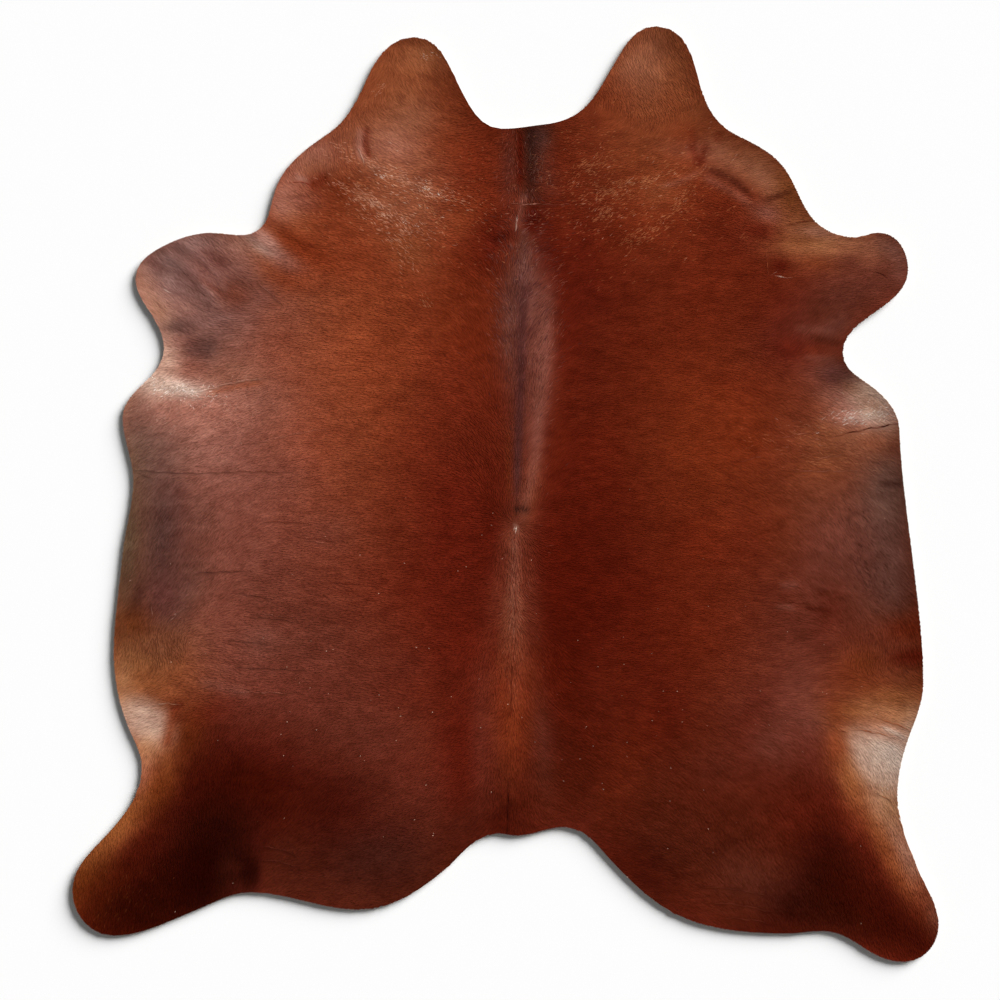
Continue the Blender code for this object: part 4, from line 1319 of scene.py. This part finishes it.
@dataclass
class Skin:
    """The tanned skin: one thin closed sheet, cut a little inside the tips of the hair."""

    name: str = "hide_skin"
    thickness: float = 0.0020
    margin: float = 0.0006  # how far the hair reaches past the skin's own cut edge
    step: float = 0.010  # between the cuts that let it bend
    merge: float = 1e-5  # corners of the frame's solid this close are one
    touch: float = 1e-6  # a corner this near a cut is on it
    weld: float = 0.0008  # edges shorter than this go
    deepest: float = 0.6  # of its thickness: how far a trough may sink its face
    sharp: float = 40.0  # degrees: a bend steeper than this is an edge
    upwards: float = 0.3  # a face whose normal rises more than this is on the hair side
    hair_map: float = 0.49  # of the UV map's width: what the hair side takes
    flat: tuple[float, float] = (1.99, 2.15)

    def face(self) -> bmesh.types.BMesh:
        """Returns the hair side as one face, from the frame's own solid."""
        cloth = bmesh.new()
        cloth.from_mesh(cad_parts[NODE].data)
        bmesh.ops.remove_doubles(cloth, verts=cloth.verts[:], dist=self.merge)
        cloth.normal_update()
        lower = [face for face in cloth.faces if face.normal.z < self.upwards]
        bmesh.ops.delete(cloth, geom=lower, context="FACES")
        bmesh.ops.dissolve_faces(cloth, faces=cloth.faces[:], use_verts=False)
        return cloth

    def outline(self) -> Outline:
        """Returns the cut edge of the frame's solid."""
        cloth = self.face()
        cloth.faces.ensure_lookup_table()
        corners = np.array([[loop.vert.co.x, loop.vert.co.y] for loop in cloth.faces[0].loops])
        cloth.free()
        return Outline(corners)

    def slice_along(self, cloth: bmesh.types.BMesh, axis: int) -> None:
        """Cuts the hair side at even steps along one axis: 0 for X and 1 for Y."""
        lowest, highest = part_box(NODE)
        across = [0.0, 0.0, 0.0]
        across[axis] = 1.0
        ahead = cloth.faces[:]
        place = lowest[axis] + self.step
        while place < highest[axis] and ahead:
            # A dict keeps their order, so that the mesh is the same in every run.
            edges = dict.fromkeys(edge for face in ahead for edge in face.edges)
            verts = dict.fromkeys(vert for face in ahead for vert in face.verts)
            cut = bmesh.ops.bisect_plane(
                cloth,
                geom=[*verts, *edges, *ahead],
                dist=self.touch,
                plane_co=[place * part for part in across],
                plane_no=across,
            )
            faces = [part for part in cut["geom"] if isinstance(part, bmesh.types.BMFace)]
            ahead = [face for face in faces if face.calc_center_median()[axis] > place]
            place += self.step

    def sliced(self) -> bmesh.types.BMesh:
        """Returns the hair side, a little smaller than the frame's, cut into small squares."""
        cloth = self.face()
        rim = bmesh.ops.inset_region(
            cloth,
            faces=cloth.faces[:],
            thickness=self.margin,
            use_boundary=True,
            use_even_offset=True,
        )
        bmesh.ops.delete(cloth, geom=rim["faces"], context="FACES")
        for axis in range(2):
            self.slice_along(cloth, axis)
        bmesh.ops.dissolve_degenerate(cloth, edges=cloth.edges[:], dist=self.weld)
        return cloth

    def thickened(self, cloth: bmesh.types.BMesh) -> bpy.types.Mesh:
        """Returns the hair side as a closed flat sheet of its real thickness."""
        sheet = [*cloth.verts, *cloth.edges, *cloth.faces]
        upper = bmesh.ops.extrude_face_region(cloth, geom=sheet, use_keep_orig=True)["geom"]
        raised = [part for part in upper if isinstance(part, bmesh.types.BMVert)]
        bmesh.ops.translate(cloth, verts=raised, vec=(0.0, 0.0, self.thickness))
        bmesh.ops.recalc_face_normals(cloth, faces=cloth.faces[:])
        self.order_sides(cloth)
        mesh = bpy.data.meshes.new(self.name)
        cloth.to_mesh(mesh)
        cloth.free()
        return mesh

    def order_sides(self, cloth: bmesh.types.BMesh) -> None:
        """Puts the faces of the cut edge last, in the order of the edges that they stand on."""
        cloth.edges.index_update()
        cloth.faces.index_update()
        count = len(cloth.faces)

        def rank(face: bmesh.types.BMFace) -> int:
            """Returns a face's place in the sheet."""
            level = round(abs(face.normal.z)) == 1
            return face.index if level else count + min(edge.index for edge in face.edges)

        cloth.faces.sort(key=rank)

    def lay(self, mesh: bpy.types.Mesh, nature: Nature) -> None:
        """Lays the sheet on the floor with its swells and folds, and tints its hair.

        Args:
            mesh: the closed flat sheet.
            nature: how it bends, and its colours.
        """
        places = spots(mesh)
        x, y = places[:, 0].astype(float), places[:, 1].astype(float)
        upper = places[:, 2] > (places[:, 2].min() + places[:, 2].max()) / 2.0
        face = np.clip(nature.relief.face(x, y), -self.deepest * self.thickness, None)
        places[:, 2] = nature.relief.lift(x, y) + np.where(upper, self.thickness + face, 0.0)
        mesh.vertices.foreach_set("co", places.ravel())
        colours = to_linear(nature.markings.display(x, y)) * nature.markings.mottling(x, y)
        tint_mesh(mesh, colours * np.array(UNDERHAIR_SHADE))

    def dress(self, mesh: bpy.types.Mesh) -> None:
        """Puts the under-hair on the hair side and suede on the rest, and maps both sides apart."""
        mesh.materials.append(UnderhairFinish().material())
        mesh.materials.append(SuedeFinish().material())
        normals = np.empty(3 * len(mesh.polygons), np.float32)
        mesh.polygons.foreach_get("normal", normals)
        suede = (normals.reshape(-1, 3)[:, 2] < self.upwards).astype(np.int32)
        mesh.polygons.foreach_set("material_index", suede)
        mesh.polygons.foreach_set("use_smooth", np.ones(len(mesh.polygons), bool))
        mesh.set_sharp_from_angle(angle=math.radians(self.sharp))
        counts = np.empty(len(mesh.polygons), np.int32)
        mesh.polygons.foreach_get("loop_total", counts)
        corners = flat_map(mesh)
        aside = np.repeat((1.0 - self.hair_map) * suede, counts)
        corners[:, 0] = self.hair_map * corners[:, 0] + aside
        mesh.uv_layers[MAP].data.foreach_set("uv", corners.astype(np.float32).ravel())
        mesh.update()

    def build(self, nature: Nature) -> bpy.types.Object:
        """Returns the finished skin, bent and tinted as its nature says."""
        mesh = self.thickened(self.sliced())
        self.lay(mesh, nature)
        self.dress(mesh)
        skin = bpy.data.objects.new(self.name, mesh)
        bpy.context.scene.collection.objects.link(skin)
        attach(skin, BODY)
        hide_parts(NODE)
        log.info("%s: %d faces", self.name, len(mesh.polygons))
        return skin


# ---------------------------------------------------------------- the coat


@dataclass
class Locks:
    """All the locks of the coat, with one value for each of them in every field."""

    x: np.ndarray  # of its root
    y: np.ndarray
    heading: np.ndarray  # radians from +X to its tip
    length: np.ndarray
    width: np.ndarray
    light: np.ndarray  # times the light of its tint
    stand: np.ndarray  # times the usual rise from its root to its tip

    def tips(self, chosen: np.ndarray) -> tuple[np.ndarray, np.ndarray]:
        """Returns how far across the hide, and along it, the chosen locks end."""
        x = self.x[chosen] + self.length[chosen] * np.cos(self.heading[chosen])
        y = self.y[chosen] + self.length[chosen] * np.sin(self.heading[chosen])
        return x, y


class TintAndPaintedLight(NamedTuple):
    """A tint that some of the locks take: the hair's own colour in most flecks, painted highlight in the
    glints, painted shade along a dark crease and painted highlight along a pale one.
    """

    chosen: np.ndarray  # the numbers of those locks
    tint: Tint
    strength: float | np.ndarray  # for all of them, or for each


def rounded(places: np.ndarray) -> np.ndarray:
    """Returns the normals that make each lock's back look round.

    Args:
        places: each lock's root, left side, right side and tip.

    Returns:
        A unit normal for each corner.
    """
    root, left, right, tip = (places[:, corner] for corner in range(4))
    left_slope = np.cross(tip - root, left - root)
    right_slope = np.cross(right - root, tip - root)
    back = left_slope + right_slope
    slopes = np.stack([back, left_slope, right_slope, back], axis=1)
    steep = np.linalg.norm(slopes[:, :, :2], axis=2) / np.maximum(slopes[:, :, 2], TINY)
    slopes[:, :, :2] *= np.minimum(1.0, STEEPEST / np.maximum(steep, TINY))[:, :, None]
    return slopes / np.linalg.norm(slopes, axis=2, keepdims=True)


@dataclass
class Parting:
    """How the hair parts at a sharp crease: fine locks lie along it, and none across it."""

    reach: float = 0.0225  # from which a lock may cross the crease
    breadth: float = 1.2  # times the crease's width: the locks that turn to lie along it
    clear: float = 0.3  # times its width: how near it a crossing lock may end
    shortest: float = 0.15  # of a crossing lock's length, which is left to it
    gather: float = 0.75  # of the way to the crease, which a turned lock's root moves
    length: float = 0.012  # the longest a turned lock may be
    fineness: float = 0.35  # times its width, at a crease of no width
    coarser: float = 60.0  # more, for each metre of the crease's width
    fade: float = 4.0  # the tint fades over one part in this many of the crease's length
    faint: float = 0.35  # how much the tint comes and goes
    wave: float = 0.037  # from one faint place to the next
    phase: float = 50.0  # radians for each metre of where the crease starts

    def part(self, fold: Fold, locks: Locks) -> TintAndPaintedLight:
        """Parts the hair at one crease.

        Args:
            fold: the crease.
            locks: the coat, which is changed there.

        Returns:
            The tint of the locks that lie along the crease: painted shade where the crease is dark, painted
            highlight where it is pale, and the hair's own colour at a scar.
        """
        near = np.flatnonzero(fold.near(locks.x, locks.y, self.reach))
        along, across = fold.from_crest(locks.x[near], locks.y[near])
        within = (np.abs(across) < self.breadth * fold.width) & (along > 0.0) & (along < 1.0)
        tip_along, tip_across = fold.from_crest(*locks.tips(near))
        crosses = (across * tip_across < 0.0) & (tip_along > 0.0) & (tip_along < 1.0) & ~within
        clear = np.abs(across) - self.clear * fold.width
        share = clear / (np.abs(across) + np.abs(tip_across))
        locks.length[near[crosses]] *= np.maximum(share[crosses], self.shortest)
        turned, along, across = near[within], along[within], across[within]
        run = math.atan2(fold.end[1] - fold.start[1], fold.end[0] - fold.start[0])
        bent = run + np.arctan(4.0 * fold.bow / fold.length * (1.0 - 2.0 * along))
        locks.x[turned] += self.gather * across * np.sin(bent)
        locks.y[turned] -= self.gather * across * np.cos(bent)
        backwards = np.cos(locks.heading[turned] - bent) < 0.0
        locks.heading[turned] = np.where(backwards, bent + math.pi, bent)
        locks.length[turned] = np.minimum(locks.length[turned], self.length)
        locks.width[turned] *= self.fineness + self.coarser * fold.width
        turns = 2.0 * math.pi * along * fold.length / self.wave + self.phase * fold.start[0]
        broken = (1.0 - self.faint) + self.faint * np.sin(turns)
        return TintAndPaintedLight(turned, fold.tint, fold.strength * fading(along, self.fade) * broken)


@dataclass
class Coat:
    """The hair: small locks laid along the growth, in bands from the neck to the rump."""

    spacing: float = 0.0040
    length: float = 0.0150
    width: float = 0.0022
    lengths: tuple[float, float] = (0.7, 1.3)  # times the length, from the least to the most
    widths: tuple[float, float] = (0.75, 1.25)
    stands: tuple[float, float] = (0.75, 1.25)
    widest: float = 0.40  # of a lock's length, from its root
    crown: float = 0.00032  # how far a lock's back stands over its sides
    root_height: float = 0.0022  # over the underside of the skin
    tip_height: float = 0.0030
    overhang: float = 0.0007  # how far a tip may pass the cut edge
    slack: float = 1.1  # times that, past which it is cut again
    nearly: float = 0.0025  # a lock that ends this far inside the edge is drawn out to it
    rim: float = 1.5  # times the length: a lock rooted this near the edge may reach it
    trims: int = 2  # times that the locks there are cut again, for the edge's bends
    drawn: tuple[float, float] = (0.1, 1.4)  # times its length that a lock there may become
    least_run: float = 1e-4  # metres, of a lock there
    wander: float = 9.0  # degrees by which a lock strays from its neighbours
    fleck_wander: float = 1.6  # times that, where a fleck turns its locks
    uneven: float = 0.06  # by which its lightness does
    depth_shade: tuple[float, ...] = (0.90, 0.97, 0.97, 1.08)  # of its root, its two sides and its tip
    clump: Mist = Mist(0.011, 17, 1.6)  # where the flecks gather
    clumping: float = 1.3
    sparsest: float = 0.1  # of a fleck's share, between its clumps
    seed: int = 71
    bands: tuple[tuple[str, float], ...] = (
        ("coat_rump", -0.62),
        ("coat_loin", -0.22),
        ("coat_back", 0.17),
        ("coat_shoulders", 0.56),
        ("coat_neck", math.inf),
    )  # each band's name, and how far up the hide it reaches

    def lock(self) -> tuple[np.ndarray, np.ndarray]:
        """Makes one lock: a closed keel of four faces, pointed at both ends.

        Returns:
            Its corners, as shares of its length, width and crown, and its faces.
        """
        left, right = (self.widest, 0.5, -1.0), (self.widest, -0.5, -1.0)
        shape = bmesh.new()
        for corner in ((0.0, 0.0, 0.0), left, right, (1.0, 0.0, 0.0)):
            shape.verts.new(corner)
        bmesh.ops.convex_hull(shape, input=shape.verts[:])
        bmesh.ops.recalc_face_normals(shape, faces=shape.faces[:])
        shape.verts.index_update()
        corners = np.array([vert.co[:] for vert in shape.verts])
        faces = np.array([[vert.index for vert in face.verts] for face in shape.faces])
        shape.free()
        return corners, faces

    def roots(self, outline: Outline, chance: np.random.Generator) -> tuple[np.ndarray, np.ndarray]:
        """Returns where the locks are rooted: a jittered grid that fills the outline."""
        lowest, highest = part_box(NODE)
        columns = np.arange(lowest[0], highest[0], self.spacing)
        rows = np.arange(lowest[1], highest[1], self.spacing)
        x, y = (side.ravel() for side in np.meshgrid(columns, rows))
        x = x + chance.uniform(0.0, self.spacing, len(x))
        y = y + chance.uniform(0.0, self.spacing, len(y))
        inside = outline.holds(x, y)
        return x[inside], y[inside]

    def grown(self, nature: Nature, chance: np.random.Generator) -> Locks:
        """Returns every lock, as it grows away from any fleck, crease or edge."""
        x, y = self.roots(nature.outline, chance)
        stray = np.radians(self.wander) * chance.normal(0.0, 1.0, len(x))
        length = self.length * chance.uniform(*self.lengths, len(x))
        width = self.width * chance.uniform(*self.widths, len(x))
        light = np.exp(self.uneven * chance.normal(0.0, 1.0, len(x)))
        stand = chance.uniform(*self.stands, len(x))
        return Locks(x, y, nature.growth.heading(x, y) + stray, length, width, light, stand)

    def flecked(self, locks: Locks, chance: np.random.Generator) -> list[TintAndPaintedLight]:
        """Picks out the locks of each fleck, and gives them its length, width and heading.

        Args:
            locks: the coat.
            chance: what they are picked by.

        Returns:
            The tint of each fleck's locks.
        """
        tints_and_painted_light = []
        clumps = np.clip(1.0 + self.clumping * self.clump.at(locks.x, locks.y), self.sparsest, None)
        for fleck in FLECKS:
            share = fleck.share * oval(fleck, locks.x, locks.y) * clumps
            chosen = np.flatnonzero(chance.uniform(0.0, 1.0, len(share)) < share)
            locks.length[chosen] *= fleck.size
            locks.width[chosen] *= fleck.fineness
            if fleck.heading is not None:
                stray = self.fleck_wander * self.wander * chance.normal(0.0, 1.0, len(chosen))
                locks.heading[chosen] = np.radians(fleck.heading + stray)
            tints_and_painted_light.append(TintAndPaintedLight(chosen, fleck.tint, fleck.strength))
        return tints_and_painted_light

    def trim(self, locks: Locks, outline: Outline) -> None:
        """Makes the locks that reach the edge end evenly along it."""
        rim = np.flatnonzero(outline.rough_depth(locks.x, locks.y) < self.rim * self.length)
        inside = outline.depth(locks.x[rim], locks.y[rim])
        beyond = -outline.depth(*locks.tips(rim))
        share = (inside + self.overhang) / np.maximum(inside + beyond, self.least_run)
        share = np.where(beyond > -self.nearly, share, 1.0)
        locks.length[rim] *= np.clip(share, *self.drawn)
        for _ in range(self.trims):
            beyond = -outline.depth(*locks.tips(rim))
            share = (inside + self.overhang) / (inside + beyond)
            locks.length[rim] *= np.where(beyond > self.slack * self.overhang, share, 1.0)

    def placed(self, locks: Locks, shape: np.ndarray, relief: Relief) -> np.ndarray:
        """Lays each lock on the hide.

        Args:
            locks: the coat.
            shape: one lock's corners, as shares of its length, width and crown.
            relief: how the hide bends under the hair.

        Returns:
            The places of each lock's corners.
        """
        along = shape[None, :, 0] * locks.length[:, None]
        across = shape[None, :, 1] * locks.width[:, None]
        east, north = np.cos(locks.heading)[:, None], np.sin(locks.heading)[:, None]
        places = np.empty((len(locks.x), *shape.shape))
        places[:, :, 0] = locks.x[:, None] + along * east - across * north
        places[:, :, 1] = locks.y[:, None] + along * north + across * east
        flat = places[:, :, 0].ravel(), places[:, :, 1].ravel()
        ground = (relief.lift(*flat) + relief.face(*flat)).reshape(len(places), -1)
        climb = (self.tip_height - self.root_height) * shape[None, :, 0] * locks.stand[:, None]
        places[:, :, 2] = ground + (self.root_height + climb) + self.crown * shape[None, :, 2]
        return places

    def coloured(
        self, locks: Locks, places: np.ndarray, tints_and_painted_light: list[TintAndPaintedLight], markings: Markings
    ) -> np.ndarray:
        """Colours each lock from the markings under it and the tints it takes, painted shade and highlight
        among them.

        Args:
            locks: the coat.
            places: the places of each lock's corners.
            tints_and_painted_light: the tints of flecks and creases, laid in turn; those of the glints are
                painted highlight, and those of the creases mostly painted shade and highlight.
            markings: the colours of the hide.

        Returns:
            Red, green and blue in linear light, for each lock's corners.
        """
        flat = places[:, :, 0].ravel(), places[:, :, 1].ravel()
        display = markings.display(*flat).reshape(places.shape)
        for tint_and_painted_light in tints_and_painted_light:
            tint = np.array(tint_and_painted_light.tint.value, float)
            share = np.reshape(tint_and_painted_light.strength, (-1, 1, 1))
            display[tint_and_painted_light.chosen] += (tint - display[tint_and_painted_light.chosen]) * share
        light = markings.mottling(*flat).reshape(places.shape) * locks.light[:, None, None]
        depth = np.array(self.depth_shade)[None, :, None]
        return to_linear(display) * light * np.array(HAIR_SHADE) * depth

    def band(
        self,
        name: str,
        places: np.ndarray,
        colours: np.ndarray,
        faces: np.ndarray,
        finish: bpy.types.Material,
    ) -> bpy.types.Object:
        """Joins one band's locks into a piece.

        Args:
            name: the piece's name.
            places: the places of each lock's corners.
            colours: each corner's colour.
            faces: one lock's faces, as corner numbers.
            finish: the hair's material.

        Returns:
            The band's object.
        """
        count, corners = places.shape[:2]
        mesh = bpy.data.meshes.new(name)
        loops = (np.arange(count)[:, None, None] * corners + faces[None]).astype(np.int32).ravel()
        mesh.vertices.add(count * corners)
        mesh.vertices.foreach_set("co", places.astype(np.float32).ravel())
        mesh.loops.add(len(loops))
        mesh.loops.foreach_set("vertex_index", loops)
        mesh.polygons.add(len(loops) // 3)
        mesh.polygons.foreach_set("loop_start", np.arange(0, len(loops), 3, dtype=np.int32))
        mesh.polygons.foreach_set("use_smooth", np.ones(len(loops) // 3, bool))
        mesh.update(calc_edges=True)
        mesh.normals_split_custom_set_from_vertices(rounded(places).reshape(-1, 3))
        tint_mesh(mesh, colours)
        flat_map(mesh)
        mesh.materials.append(finish)
        piece = bpy.data.objects.new(name, mesh)
        bpy.context.scene.collection.objects.link(piece)
        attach(piece, BODY)
        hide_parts(NODE)
        log.info("%s: %d locks", name, count)
        return piece

    def build(self, nature: Nature) -> list[bpy.types.Object]:
        """Lays every lock, and returns the bands.

        Args:
            nature: where the hide ends, how it lies, its colours and its growth.

        Returns:
            One object for each band.
        """
        chance = np.random.default_rng(self.seed)
        locks = self.grown(nature, chance)
        tints_and_painted_light = self.flecked(locks, chance)
        tints_and_painted_light += [Parting().part(fold, locks) for fold in FOLDS if fold.fine]
        self.trim(locks, nature.outline)
        shape, faces = self.lock()
        places = self.placed(locks, shape, nature.relief)
        colours = self.coloured(locks, places, tints_and_painted_light, nature.markings)
        finish = HairFinish().material()
        pieces = []
        start = -math.inf
        for name, end in self.bands:
            mine = (locks.y >= start) & (locks.y < end)
            pieces.append(self.band(name, places[mine], colours[mine], faces, finish))
            start = end
        return pieces


# ---------------------------------------------------------------- the studio


@dataclass
class Studio:
    """A plain pale floor, soft light from the upper right, and a camera straight above."""

    lens: float = 100.0  # millimetres
    sensor: float = 36.0  # millimetres
    view_width: float = 2.30  # metres of floor that the picture spans
    view_x: float = -0.0127
    view_y: float = -0.0138
    subject_height: float = 0.004
    floor_reach: float = 60.0  # metres from the floor's middle to its sides
    floor_drop: float = 0.0004
    floor_colour: Colour = (0.86, 0.86, 0.86, 1.0)
    floor_roughness: float = 0.9
    floor_specular: float = 0.1
    sky_colour: Colour = (1.0, 1.0, 1.0, 1.0)
    sky: float = 0.15
    key_strength: float = 7.12
    key_spread: float = 37.0  # degrees: how wide the soft light looks from the floor
    key_height: float = 26.0  # degrees over the floor
    key_bearing: float = 42.0  # degrees from +X, to the upper right

    def floor(self) -> None:
        """Lays the floor just under the hide."""
        slab = bmesh.new()
        bmesh.ops.create_grid(slab, x_segments=1, y_segments=1, size=self.floor_reach)
        bmesh.ops.translate(slab, verts=slab.verts[:], vec=(0.0, 0.0, -self.floor_drop))
        mesh = bpy.data.meshes.new("studio_floor")
        slab.to_mesh(mesh)
        slab.free()
        bench = Bench("studio_floor")
        bench.set(
            Base_Color=self.floor_colour,
            Roughness=self.floor_roughness,
            Specular_IOR_Level=self.floor_specular,
        )
        mesh.materials.append(bench.material)
        floor = bpy.data.objects.new("studio_floor", mesh)
        bpy.context.scene.collection.objects.link(floor)

    def light(self) -> None:
        """Sets a pale sky and one large soft light."""
        world = bpy.data.worlds.new("studio_sky")
        world.use_nodes = True
        background = world.node_tree.nodes["Background"]
        background.inputs["Color"].default_value = self.sky_colour
        background.inputs["Strength"].default_value = self.sky
        bpy.context.scene.world = world
        lamp = bpy.data.lights.new("key", "SUN")
        lamp.energy = self.key_strength
        lamp.angle = math.radians(self.key_spread)
        key = bpy.data.objects.new("key", lamp)
        tilt, bearing = math.radians(90.0 - self.key_height), math.radians(90.0 + self.key_bearing)
        key.rotation_euler = (tilt, 0.0, bearing)
        bpy.context.scene.collection.objects.link(key)

    def camera(self) -> None:
        """Looks straight down at the hide, with the neck at the top."""
        lens = bpy.data.cameras.new("camera")
        lens.lens = self.lens
        lens.sensor_width = self.sensor
        camera = bpy.data.objects.new("camera", lens)
        height = self.view_width * self.lens / self.sensor + self.subject_height
        camera.location = (self.view_x, self.view_y, height)
        bpy.context.scene.collection.objects.link(camera)
        bpy.context.scene.camera = camera

    def build(self) -> None:
        """Sets up the floor, the light and the camera."""
        self.floor()
        self.light()
        self.camera()
        bpy.context.scene.view_settings.view_transform = "Standard"
        log.info("studio: floor, sky, one soft light, camera")


def main() -> None:
    """Builds the rug and its studio."""
    skin = Skin()
    outline = skin.outline()
    relief = Relief(outline, SWELLS, FOLDS)
    markings = Markings(Tint.BAY, PATCHES, FOLDS, MOTTLES)
    nature = Nature(outline, relief, markings, Growth(LAYS))
    hide = skin.build(nature)
    coat = Coat().build(nature)
    Studio().build()


if __name__ == "__main__":
    logging.basicConfig(level=logging.INFO, format="%(message)s")
    main()
